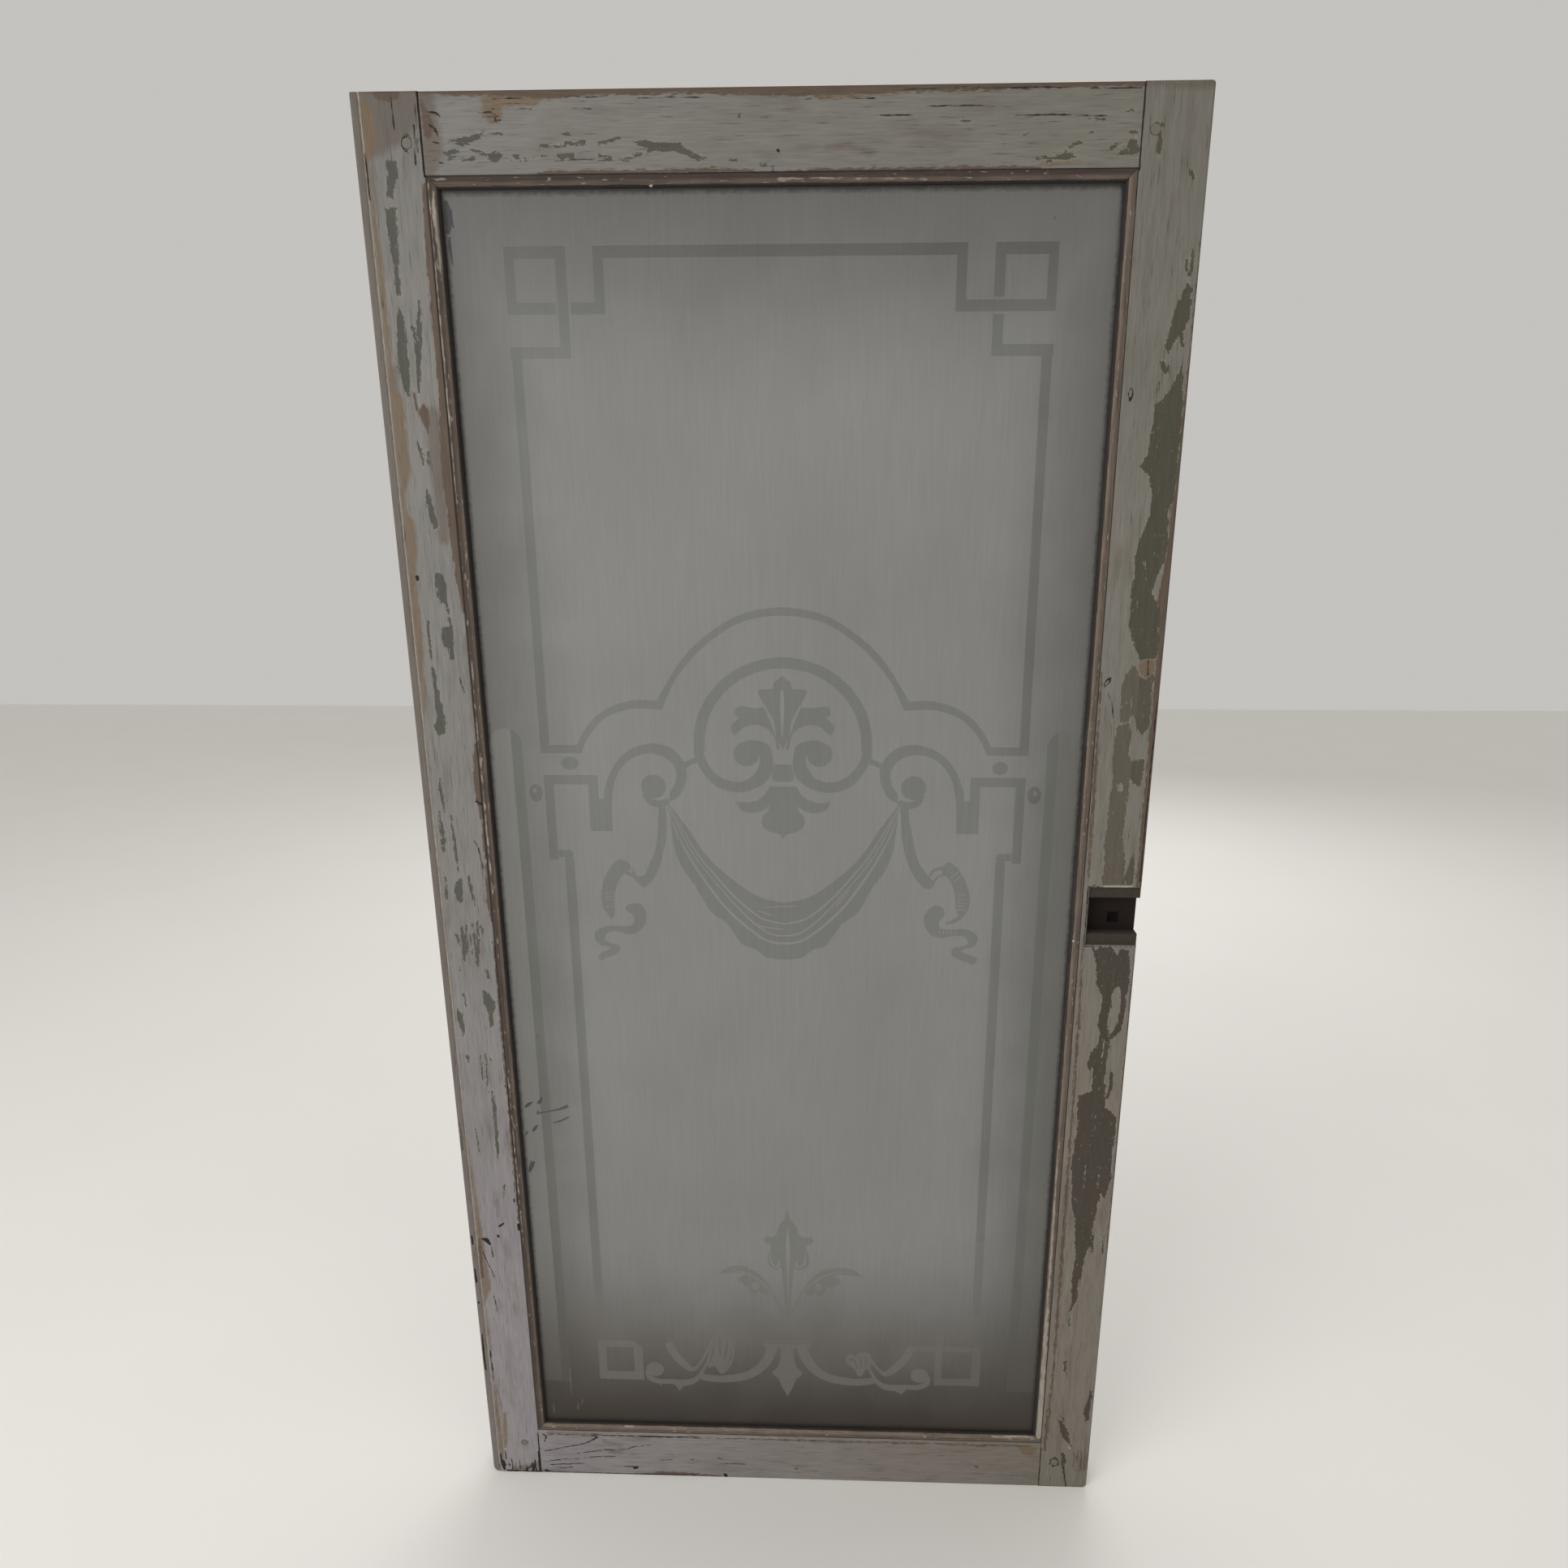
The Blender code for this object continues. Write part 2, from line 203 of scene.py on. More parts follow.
def draw(kind, outline, both=False):
    shapes.append((kind, outline))
    if both:
        shapes.append((kind, [(1.0 - x, z) for x, z in outline]))


# side panels first, then every band of the strapwork
panelTurns = np.linspace(0, math.pi, 12)
panel = (
    [(-250.5, 117), (-221.5, 117)]
    + [(-236 + 14.5 * math.cos(a), 803 + 15 * math.sin(a)) for a in panelTurns]
)
draw("palePanel", panel)
draw("panel", [(1.0 - x, z) for x, z in panel])
innerTop = [(-236 + 14.5 * math.cos(a), 803 + 15 * math.sin(a)) for a in np.linspace(0, 1.2, 6)]
draw("panelEdge", [(-230.5, 118), (-221.5, 118)] + innerTop, both=True)

for strap in (
    bar(-206.8, 1147.7, -199.5, 1196),
    bar(-206.8, 1187.4, -160.2, 1196),
    bar(-168.1, 1115.8, -160.2, 1196),
    bar(-206.8, 1147.7, -131.9, 1156.2),
    bar(-139.6, 1147.7, -131.9, 1196),
    bar(-206.8, 1115.8, -160.2, 1124.3),
    bar(-206, 796, -198.2, 1124.3),
    bar(-206, 796, -171, 803.4),
    bar(-205, 697.7, -197, 776.4),
    bar(-205, 767.9, -159.6, 776.4),
    bar(-167, 724.9, -158.5, 776.4),
    bar(-164.5, 724.9, -149.4, 732.7),
    bar(-160, 724.9, -154, 755),
):
    draw("figure", strap, both=True)
draw("figure", bar(-139.6, 1187.4, 140.6, 1196))
draw("figure", bar(-191.5, 202, -183, 699))
draw("soft", bar(-191.5, 195, -155, 202))
draw("figure", bar(184, 300, 192.5, 699))
draw("soft", bar(184, 212, 192.5, 300))
draw("figure", bar(-196.5, 700, -190, 707), both=True)
draw("figure", disc(-187.4, 702.5, 4.1, 4.5), both=True)
# interlace: upright over on the left, level bar over on the right
draw("ground", bar(-169.9, 1147.7, -168.1, 1156.2))
draw("ground", bar(-160.2, 1147.7, -158.4, 1156.2))
draw("ground", bar(161.2, 1156.2, 169.1, 1158))
draw("ground", bar(161.2, 1145.9, 169.1, 1147.7))

shoulderTop = [
    (-174.5, 803.4), (-168, 815.7), (-157.5, 828.5), (-142.6, 838), (-123.4, 843.4), (-105.3, 842.8),
]
shoulderLow = [(-171.3, 796), (-163.8, 811.5), (-150, 826.8), (-134, 833.8), (-121.3, 836), (-100.7, 834.8)]
draw("figure", smoothLine(shoulderTop) + smoothLine(shoulderLow)[::-1], both=True)
archTop = [(-105.3, 842.4), (-94.9, 860), (-85, 875.5), (-72.8, 889.5), (-58, 901.8), (-40.9, 912.8)]
archTop += [(-21.2, 919.7), (0.5, 922.5)]
archLow = [(-100.9, 835), (-90.5, 857.6), (-80.1, 872.3), (-67.9, 885.8), (-53.1, 898), (-36, 908.4)]
archLow += [(-16.3, 914), (0.5, 915.3)]
draw("figure", smoothLine(archTop) + smoothLine(archLow)[::-1], both=True)
draw("figure", disc(-181.5, 787, 7.5, 6))
draw("figure", disc(183.9, 784.7, 6.5, 6))
draw("figure", disc(-212.6, 759.8, 5.9, 8))
draw("figure", disc(213.8, 760.5, 5.9, 8))
draw("ground", disc(-213.6, 762, 1.6, 2.4, 10))
draw("ground", disc(214.6, 762.4, 1.6, 2.4, 10))

# side scrolls and their links to the medallion
scrollOut = [(-155.3, 725), (-154.3, 753), (-151, 770), (-142.6, 787), (-129.8, 799.4), (-112.8, 805.1)]
scrollOut += [(-97.9, 803), (-87.2, 794.5), (-81.9, 782.8), (-83, 770), (-89.4, 757.2), (-97.9, 752.6)]
scrollIn = [(-147.9, 725), (-147.2, 753), (-142.6, 774.3), (-131.9, 789.2), (-117, 796), (-104.3, 794.5)]
scrollIn += [(-95.7, 789.2), (-91, 780.6), (-91.9, 770), (-96.8, 761.5)]
draw("figure", smoothLine(scrollOut) + smoothLine(scrollIn)[::-1], both=True)
draw("figure", disc(-110.6, 766.5, 10.8), both=True)
draw(
    "figure",
    taperBand([(-119.5, 760, 1.5), (-114, 753, 3), (-106, 750.5, 3.2), (-98, 753, 3)]),
    both=True,
)
draw("figure", taperBand([(-86, 784.5, 3.2), (-78, 788.5, 2.3), (-70.5, 791.5, 3.2)]), both=True)

# medallion ring with its two volutes
ringTurns = np.linspace(math.pi / 2, math.pi + 0.06, 16)
ringOut = [(0.5 + 75.5 * math.cos(a), 805 + 75.5 * math.sin(a)) for a in ringTurns]
ringOut += smoothLine(
    [(-75, 797), (-71, 785), (-63, 772.6), (-52.5, 764.7), (-38.5, 761.7), (-24.4, 764.7), (-13.9, 771.7)]
    + [(-7.8, 783), (-9.5, 800.6), (-13.9, 805.9), (-22.7, 808.6), (-31.4, 808.6)],
    4,
)
ringIn = [(0.5 + 66.2 * math.cos(a), 805 + 66 * math.sin(a)) for a in ringTurns]
ringIn += smoothLine(
    [(-66.9, 797), (-63, 786.7), (-56, 777.9), (-47.2, 772.6), (-36.7, 771.2), (-28, 774.4), (-21.8, 781.4)]
    + [(-18.8, 790.2), (-20, 797)],
    4,
)
draw("figure", ringOut + ringIn[::-1], both=True)
draw("figure", disc(-30.6, 796.2, 11), both=True)
draw("figure", [(-6.8, 787), (7.8, 787), (10, 776), (8, 771.5), (-7, 771.5), (-9, 776)])
draw("ground", disc(0.5, 793.7, 8.5, 6))

lowerLeaf = smoothLine([(-11.2, 767.3), (-15, 760), (-20.9, 755), (-31.4, 752.3), (-40.6, 753.6)], 4)
lowerLeaf += smoothLine([(-36.7, 746.2), (-27.9, 742.6), (-17.4, 745.2), (-11.2, 749.7)], 4)
lowerLeaf += smoothLine(
    [(-13, 744.4), (-17.4, 739), (-17.4, 731.2), (-12.1, 726), (-3.3, 723.3), (0.5, 719)], 4
)
draw("figure", [(0.5, 767.3)] + lowerLeaf, both=True)

upperLeaf = smoothLine([(0.7, 865.6), (-3, 861.5), (-6, 859.5), (-7.7, 853.3)], 4)
upperLeaf += smoothLine(
    [(-10.4, 853.3), (-19.1, 852.5), (-19.5, 849), (-15.6, 841), (-7.7, 827), (-5, 812)], 4
)
draw("figure", upperLeaf + [(0.6, 800)], both=True)
sideLeaf = smoothLine([(-2, 800.7), (-4.5, 812), (-8.6, 826), (-13.9, 837.5)], 4)
sideLeaf += smoothLine([(-24.4, 836.7), (-33.2, 838.4), (-38.5, 836.7), (-39.7, 831.4), (-35.8, 827.9)], 4)
sideLeaf += smoothLine([(-40.6, 824.4), (-43.2, 819.1), (-40.2, 812.6)], 4)
sideLeaf += smoothLine(
    [(-35.8, 816.5), (-29.7, 820.9), (-20.9, 822.1), (-12.1, 818.3), (-6.8, 811.2), (-4.7, 800.7)], 4
)
draw("figure", sideLeaf, both=True)
draw("ground", taperBand([(-5.4, 813, 0.3), (-9.2, 826, 0.9), (-14.8, 839, 0.9)]), both=True)
draw("ground", taperBand([(0.2, 852, 0.9), (0.3, 840, 1.7), (0.3, 826, 1.3), (0.2, 812, 0.4)]))

# swag with its fold lines
swagIn = [(-97.4, 749.7), (-84.2, 731), (-72, 710.5), (-64, 699.5), (-58, 692.5), (-44, 680), (-33, 671)]
swagIn += [(-23, 664.6), (-11.4, 660.5), (0.5, 658.6)]
swagOut = [(-99, 748), (-96.5, 725), (-93.7, 705), (-87, 688), (-77.5, 674), (-65, 650), (-51, 638.5)]
swagOut += [(-43, 626), (-36, 616.5), (-25, 612.5), (-15.6, 604.6), (0.5, 602)]
draw("figure", smoothLine(swagIn, 4) + smoothLine(swagOut, 4)[::-1], both=True)
for fold in (
    [(-98, 748, 0.3), (-75, 705, 0.6), (-61, 686, 0.8), (-45.5, 666.5, 0.9), (-31.4, 652.5, 0.9)]
    + [(-17.4, 642, 0.9), (0.5, 637.8, 0.9)],
    [(-98.3, 747, 0.3), (-79, 705, 0.5), (-57, 674, 0.5), (-36, 648.5, 0.7), (-24, 636.5, 0.8)]
    + [(-12, 628, 0.8), (0.5, 626, 0.7)],
    [(-98.6, 743.4, 0.3), (-91.2, 721.3, 0.6), (-80, 698, 0.9), (-71.4, 683, 1.1), (-57, 661, 1.2)]
    + [(-47.9, 649.6, 1.2), (-37.1, 638.5, 1.2), (-26.4, 629, 1.1), (-15.7, 621.5, 1.1), (-5.7, 618.8, 1)]
    + [(0.5, 618.8, 1)],
):
    draw("ground", taperBand(fold, 4), both=True)
for fold in (
    [(-27, 637.6, 0.3), (-18.6, 634.9, 0.7), (-8, 633.3, 0.7), (1.4, 632, 0.4)],
    [(-23, 650.8, 0.3), (-15, 647.4, 0.7), (-8, 646, 0.3)],
    [(-18, 653.2, 0.3), (-8, 654.3, 0.6), (12, 655.3, 0.3)],
    [(43.5, 652, 0.3), (50.5, 660.6, 0.7), (58.5, 672, 0.3)],
):
    draw("ground", taperBand(fold, 4))

# ribbons: each falls from its scroll, folds back, curls twice and ends in a tail
leftFall = [
    (-107, 748), (-108.6, 726), (-110.4, 713), (-113, 703), (-118.6, 691.4), (-121.4, 684.3), (-126.5, 682),
]
leftFall += [
    (-130, 684.5), (-131.5, 689.5), (-139.3, 685), (-133, 682), (-128.6, 677), (-123.6, 671.7),
    (-118.6, 675),
]
leftFall += [(-112.9, 682), (-107.9, 693), (-104.3, 705.7), (-101.7, 717), (-100.4, 731.4), (-100.7, 748)]
draw("figure", smoothLine(leftFall, 3))
rightFall = [
    (100.7, 748), (101.9, 734.3), (102.9, 718.6), (106.4, 703), (111.4, 690), (117, 680), (123, 674.3),
]
rightFall += [(127.1, 672.6), (131.6, 675.5), (131.9, 678.6), (127.1, 685), (123.6, 689.3), (119.3, 695.7)]
rightFall += [(115.7, 704.3), (112.9, 717), (110.7, 728.6), (108.6, 738.6), (107.9, 748)]
draw("figure", smoothLine(rightFall, 3))
draw("figure", taperBand([(128, 685, 1.2), (131, 690.5, 1.1), (139, 693, 1.6)]))
draw("figure", taperBand([(130, 677.5, 1.2), (134.5, 684, 0.9), (140, 686.8, 1.1)]))
leftTurn = [
    (-133, 691), (-134.8, 694), (-138.6, 697.4), (-143.6, 697.9), (-149.3, 694.3), (-154.3, 687),
    (-158, 678.6),
]
leftTurn += [(-160.7, 668.6), (-161.1, 660), (-160, 651.4), (-156.4, 645.7), (-153.6, 640.7), (-150, 645.7)]
leftTurn += [(-149.7, 654.3), (-149.6, 663), (-147.9, 670), (-145.7, 675.7), (-142.9, 681.4), (-139, 685.3)]
draw("figure", smoothLine(leftTurn, 3))
rightTurn = [
    (138.6, 693.6), (142.9, 698.3), (147.9, 696.4), (152.9, 691.4), (157.1, 684.3), (161.4, 674.3),
    (163.3, 665.7),
]
rightTurn += [
    (163.1, 657), (160.7, 650), (156.4, 644.3), (150.7, 640.3), (143, 639.5), (147, 642.6), (153.6, 647),
]
rightTurn += [(151.4, 654.3), (150.7, 663), (149.3, 671.4), (145.7, 680), (142.1, 685), (138.6, 686.4)]
draw("figure", smoothLine(rightTurn, 3))
leftCurl = [
    (-140.7, 651.4), (-138.6, 654), (-132.9, 656.4), (-127, 655.7), (-122.9, 650), (-121.9, 643),
    (-123.6, 635.7),
]
leftCurl += [
    (-128.6, 629.3), (-135.7, 626), (-143, 626.8), (-146, 629), (-144.3, 633.6), (-137.1, 634.3),
    (-133, 638.6),
]
leftCurl += [(-134, 645.7), (-137.1, 647)]
draw("figure", smoothLine(leftCurl + leftCurl[:1], 3))
rightCurl = [
    (142, 650), (140, 655), (134.3, 657.4), (129.3, 655), (125, 649.3), (123.9, 643), (125.7, 635.7),
]
rightCurl += [
    (130.7, 628.6), (137.9, 626), (146, 626.6), (148, 629.5), (145, 633.6), (139, 634.5), (137.3, 638.5),
]
rightCurl += [(138.2, 643), (141.5, 646)]
draw("figure", smoothLine(rightCurl + rightCurl[:1], 3))
leftTail = [
    (-142, 630.3, 3.6), (-150, 631.5, 2.8), (-158, 630.3, 3.4), (-164.4, 625, 4.8), (-163, 618.2, 3.6),
]
leftTail += [(-156, 615, 2), (-151, 611.8, 4.2), (-156, 607.2, 3.3), (-162, 604.6, 3.2), (-166, 600.8, 2.4)]
draw("figure", taperBand(leftTail))
rightTail = [
    (143, 630, 3.6), (151, 631, 3.2), (160, 631, 3.6), (167, 626, 4.8), (166, 619.4, 3.2),
    (159.5, 616.4, 1.6),
]
rightTail += [(153.3, 612.2, 4.4), (159, 607.4, 3.8), (166, 605, 4), (171, 602, 3.4)]
draw("figure", taperBand(rightTail))
draw("ground", [(-136.6, 687.6), (-132.6, 685.6), (-131.6, 688.4)])
for level in (666, 662.5, 659.5, 652.5):
    draw("ground", bar(-158.5, level, -151, level + 0.7))
for level in (667.5, 662.5, 659.5, 656, 652.8):
    draw("ground", bar(152.4, level, 160, level + 0.8))
for start, end in (((145, 683), (152, 689)), ((148, 679.5), (154, 684.5))):
    draw("ground", taperBand([(*start, 0.2), (*end, 0.5)], 2))
for across in (137.5, 141, 144.5, 148, 151.5):
    draw("ground", bar(across, 629.2, across + 0.7, 633))

# flower and arching leaves over the bottom group
flower = smoothLine(
    [(1.3, 333), (-1.5, 322), (-7, 314), (-9.5, 304.5), (-14, 301), (-19, 302), (-21.6, 297.4)], 4
)
flower += smoothLine(
    [(-19, 293), (-15, 291.5), (-15.5, 286), (-17.3, 280), (-17.7, 271), (-14.5, 264.3)], 4
)
flower += smoothLine([(-9, 261.8), (-4.5, 264), (-3.4, 250), (-1.4, 225), (0, 205)], 4)
rightFlower = [(3.2 - x * (1.12 if x < -12 else 1.0), z) for x, z in flower]
draw("soft", flower + [(2.6, 205), (2.6, 333)])
draw("soft", rightFlower + [(1.6, 205), (1.6, 333)])
draw("ground", taperBand([(1.6, 311, 0.4), (1.8, 285, 2.0), (2, 262, 1.3), (2, 235, 0.8), (1.8, 212, 0.4)]))
draw(
    "ground",
    taperBand([(-15.6, 283, 0.3), (-14, 270, 0.9), (-10, 265.6, 1.0), (-7, 268, 1.2), (-7.5, 273, 0.8)]),
)
draw(
    "ground",
    taperBand([(19.4, 283, 0.3), (17.6, 270, 0.9), (13, 265.6, 1.0), (10, 268, 1.2), (10.5, 273, 0.8)]),
)
for side, tip in ((-1, 68.5), (1, 76)):
    spread = tip / 72
    crest = [
        (3, 208), (8, 222), (14, 236), (21.5, 249), (30, 258.5), (40, 264.3), (51, 266.3), (63, 263),
        (tip / spread, 255),
    ]
    under = [
        (59, 257), (52, 258), (44, 256.5), (51, 250), (46, 244.5), (42, 241), (37, 243.5), (39, 237),
        (32, 230.5),
    ]
    under += [(28, 236), (21.5, 230.5), (17, 235), (13, 226), (6, 212)]
    leaf = smoothLine(crest, 4) + smoothLine(under, 3)
    draw("soft", [(0.8 + side * x * (spread if x > 40 else 1), z) for x, z in leaf])
    rib = [(12, 228, 0.4), (20, 241, 0.9), (30, 251, 1.1), (43, 258.6, 0.8), (54, 260.6, 0.3)]
    draw("ground", taperBand([(0.8 + side * x, z, half) for x, z, half in rib]))
    draw("ground", disc(0.8 + side * 31, 242, 4.2, 4.8, 12))
    scroll = [
        (9, 190, 1.4), (15, 202, 2.4), (26, 209, 3), (41, 211.5, 3.2), (56, 209, 3.2), (65, 201, 3),
        (69, 189, 2),
    ]
    draw("trace", taperBand([(0.8 + side * x, z, half) for x, z, half in scroll]))
    draw("trace", disc(0.8 + side * 43, 190, 7))

# bottom group, the part that turns lighter than its ground
draw("figure", [(-191.5, 121), (-146, 121), (-146, 163), (-156.5, 170.6), (-191.5, 170.6)])
draw("ground", bar(-183.4, 131.4, -155.2, 162.3))
draw("soft", bar(149, 123, 194.7, 172.3))
draw("ground", bar(156.2, 132, 186, 165.6))
draw("soft", bar(149, 172, 156.2, 197))
draw("soft", bar(122, 165.8, 150, 172.4))
draw("figure", disc(-134.3, 135, 9))
draw("figure", disc(134.3, 134.6, 9))
tail = [
    (-142.6, 134, 1.6), (-140.5, 124.5, 3), (-132, 119.6, 3.2), (-120, 119.6, 3.1), (-108, 118.2, 4),
    (-98, 119.8, 3.6),
]
tail += [(-90.5, 126, 2.4), (-85, 136, 1.6), (-80, 148, 1.1), (-75, 160, 0.6)]
draw("figure", taperBand(tail), both=True)
draw("figure", [(-114.5, 116), (-110.3, 107.5), (-104.5, 116)])
draw("figure", [(-131, 118), (-129.6, 113), (-127, 118)])
draw("figure", [(107, 116), (116.5, 110), (122, 117)])
leftStem = [
    (-119.6, 169.5, 3.9), (-115, 157, 4.2), (-106.5, 145, 4.3), (-98, 136.5, 3.2), (-91.5, 139, 1.6),
    (-83, 154, 1.5),
]
leftStem += [(-71.5, 182, 1.2), (-62, 199, 0.5)]
draw("figure", taperBand(leftStem))
rightStem = [
    (125.5, 170, 4), (119, 156, 4.2), (110, 144, 4.3), (100.5, 136, 3.2), (93, 141, 1.5), (86, 152, 1.4),
    (82, 160, 0.7),
]
draw("figure", taperBand(rightStem))
leftLeaf = smoothLine(
    [(-54, 186), (-60, 180), (-66, 187), (-72, 176), (-76.6, 165), (-80.6, 150), (-80, 138)], 4
)
leftLeaf += smoothLine(
    [(-73, 141), (-69, 133), (-64, 131.5), (-57, 142), (-53.4, 154), (-52, 170), (-54, 186)], 4
)
draw("figure", leftLeaf)
for slit in (
    [(-66, 184, 0.3), (-67.5, 170, 1.5), (-67, 153, 0.5)],
    [(-59.5, 176, 0.3), (-61, 162, 1.3), (-63.5, 149, 0.5)],
    [(-72, 172, 0.2), (-75, 158, 0.8), (-78, 145, 0.4)],
    [(-56, 164, 0.3), (-57, 152, 0.7), (-60, 143, 0.3)],
):
    draw("ground", taperBand(slit, 4))
rightLeaf = smoothLine(
    [(59.5, 153), (61.5, 158.5), (66, 160), (69, 157.5), (73, 161), (79, 163), (85, 160)], 4
)
rightLeaf += smoothLine(
    [(86, 152), (84, 143), (79.5, 140.5), (76, 133), (71.5, 133.5), (68.5, 141), (62.5, 146), (59.5, 153)],
    4,
)
draw("figure", rightLeaf)
for slit in (
    [(68, 155, 0.3), (70, 148, 0.8), (71, 141, 0.3)],
    [(73.5, 159, 0.3), (75, 150, 0.8), (75, 141, 0.3)],
    [(79, 160, 0.3), (80, 152, 0.7), (79.5, 144, 0.3)],
    [(62.5, 152, 0.5), (65.5, 154.5, 0.8), (66.5, 150.5, 0.4)],
):
    draw("ground", taperBand(slit, 4))
stemOut = [
    (-90, 124.6), (-82, 121.3), (-64.7, 120), (-45, 123), (-29, 131), (-18, 143.5), (-11, 159), (-8.8, 167),
]
stemIn = [(-87, 131.2), (-76, 129), (-64.7, 129), (-45.5, 133), (-32.5, 141.5), (-24, 154), (-19.8, 167)]
draw("figure", smoothLine(stemOut) + smoothLine(stemIn)[::-1], both=True)
draw("soft", bar(-24.5, 172, 25.5, 176))
draw("figure", bar(-23.5, 166, 24.5, 171))
spear = [(-5.5, 166), (-6.5, 152), (-9.5, 141.5), (-14.8, 133.8), (-8.5, 126), (-5, 115.6), (0.8, 104)]
draw("figure", smoothLine(spear, 4) + [(1.2, 104), (1.2, 166)], both=True)
# dirt and scuffs: corner blob, a scraped line with its splinters, drips over the bottom bead
for mark in (
    [(-247.5, 1228, 1.6), (-246.5, 1220, 2.6), (-246.5, 1212, 2.4), (-247.5, 1205, 1.4)],
    [(250, 1234, 1.6), (252, 1228, 1.4), (251.5, 1221, 0.8)],
    [(202.6, 1212, 0.8), (203.4, 1212, 0.8)],
    [(-243, 1209, 0.5), (-244, 1216, 0.9), (-243.5, 1222, 0.4)],
    [(-246, 1183, 0.4), (-247, 1197, 1.2), (-246.5, 1203, 0.6)],
    [(-235, 437, 0.8), (-222, 440, 0.7), (-212, 442.5, 1.2), (-204.5, 446, 1.8)],
    [(-220, 427, 0.5), (-211, 430, 1.0), (-204.5, 434, 0.8)],
    [(-245.5, 443.5, 1.0), (-242, 447, 1.6), (-238, 449.5, 0.7)],
    [(-233, 448, 1.3), (-230.5, 451, 1.7), (-229, 455.5, 0.7)],
    [(-234.5, 436.5, 0.7), (-233, 440.5, 0.6)],
    [(-240, 417, 0.8), (-237.5, 421, 1.6), (-235, 424, 0.8)],
    [(-247, 413, 0.7), (-245, 417, 1.0)],
    [(-246.5, 371, 0.9), (-244, 378, 2.2), (-241, 383.5, 1.0)],
    [(-245.5, 379, 0.5), (-244, 384, 0.6)],
    [(-228.5, 518, 0.3), (-228, 522, 0.6)],
    [(-234.5, 65, 1.3), (-234, 69.5, 0.9)],
    [(-229.5, 65, 0.9), (-230, 68, 0.6)],
    [(-224, 65.5, 1.2), (-222.5, 67.5, 0.6)],
):
    draw("spot", taperBand(mark, 3))
for mark in (
    [(-242.5, 73, 0.3), (-242, 79, 0.7), (-242.5, 87, 0.3)],
    [(-217.5, 79, 0.4), (-216.5, 83, 1.1), (-216, 88, 0.4)],
    [(-213, 86, 0.2), (-211.5, 91, 0.7), (-210.5, 94, 0.3)],
    [(-222.5, 98, 0.2), (-222.5, 118, 0.6), (-222, 135, 0.2)],
):
    draw("scuff", taperBand(mark, 3))
print("stage 3: ornament drawn,", len(shapes), "shapes")

paneLow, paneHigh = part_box("glass_pane")


def buildPane(name, kindMaterials):
    points, faces = [], []
    corners = [
        (paneLow.x, paneLow.z), (paneHigh.x, paneLow.z), (paneHigh.x, paneHigh.z), (paneLow.x, paneHigh.z),
    ]
    outlines = [("ground", corners)]
    outlines += [(kind, [(x * paneX, z * paneZ) for x, z in outline]) for kind, outline in shapes]
    for kind, outline in outlines:
        area = sum(a[0] * b[1] - b[0] * a[1] for a, b in zip(outline, outline[1:] + outline[:1]))
        ordered = outline if area > 0 else outline[::-1]
        faces.append(list(range(len(points), len(points) + len(ordered))))
        points += [Vector(p) for p in ordered]
    flat, _, triangles, _, _, sources = delaunay_2d_cdt(points, [], faces, 1, 1e-6)
    bm = bmesh.new()
    front = [bm.verts.new((p.x, paneLow.y, p.y)) for p in flat]
    kinds = list(kindMaterials)
    for triangle, source in zip(triangles, sources):
        if len(set(triangle)) < 3:
            continue
        face = bm.faces.new([front[i] for i in triangle])
        face.material_index = kinds.index(outlines[max(source)][0])
    bmesh.ops.delete(bm, geom=[v for v in bm.verts if not v.link_faces], context="VERTS")
    bm.normal_update()
    if sum(f.normal.y * f.calc_area() for f in bm.faces) > 0:
        bmesh.ops.reverse_faces(bm, faces=bm.faces[:])
    rim = [e for e in bm.edges if len(e.link_faces) == 1]
    wall = bmesh.ops.extrude_edge_only(bm, edges=rim)["geom"]
    backVerts = [g for g in wall if isinstance(g, bmesh.types.BMVert)]
    for v in backVerts:
        v.co.y = paneHigh.y
    backEdges = [e for e in bm.edges if len(e.link_faces) == 1]
    bmesh.ops.contextual_create(bm, geom=backEdges)
    bmesh.ops.recalc_face_normals(bm, faces=bm.faces[:])
    mesh = bpy.data.meshes.new(name)
    bm.to_mesh(mesh)
    bm.free()
    for material in kindMaterials.values():
        mesh.materials.append(material)
    return newPiece(name, mesh)


# Acid etched sheet glass: a milky matt ground, the drawing left a little smoother and greyer.
# Dust with painted shade lies along the beads, the brown of the floor behind is painted into the bottom
# 140 mm as if seen through the glass, and grime with the painted shadow of the beads fills the corner
# between pane and bead. Colours: clear, dusty and shaded, with the floor behind; then the roughness
paneSettings = {
    "ground": ("#858481", "#656460", "#342b22", 0.6),
    "figure": ("#737471", "#4f4f4a", "#665e56", 0.46),
    "soft": ("#767772", "#5c5c57", "#5c534a", 0.5),
    "trace": ("#7f7f7b", "#62625e", "#463d34", 0.56),
    "palePanel": ("#84847f", "#70706c", "#473e36", 0.56),
    "panel": ("#7d7d79", "#62625d", "#433a32", 0.56),
    "panelEdge": ("#747571", "#5b5c57", "#453c34", 0.52),
    "spot": ("#595957", "#3b3c41", "#241d19", 0.7),
    "scuff": ("#908f8a", "#82817c", "#564d45", 0.7),
}
# grime and the painted shadow of the beads: how far in from each bead the dark line starts, and its colour
grimeAndShadeSettings = {"left": 0.0034, "right": 0.003, "top": 0.0046, "bottom": 0.0044, "colour": "#211c1a"}
grimeAndShadeEdges = {
    "left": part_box("bead_left")[1].x + grimeAndShadeSettings["left"],
    "right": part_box("bead_right")[0].x - grimeAndShadeSettings["right"],
    "top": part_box("bead_top")[0].z - grimeAndShadeSettings["top"],
    "bottom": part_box("bead_bottom")[1].z + grimeAndShadeSettings["bottom"],
}
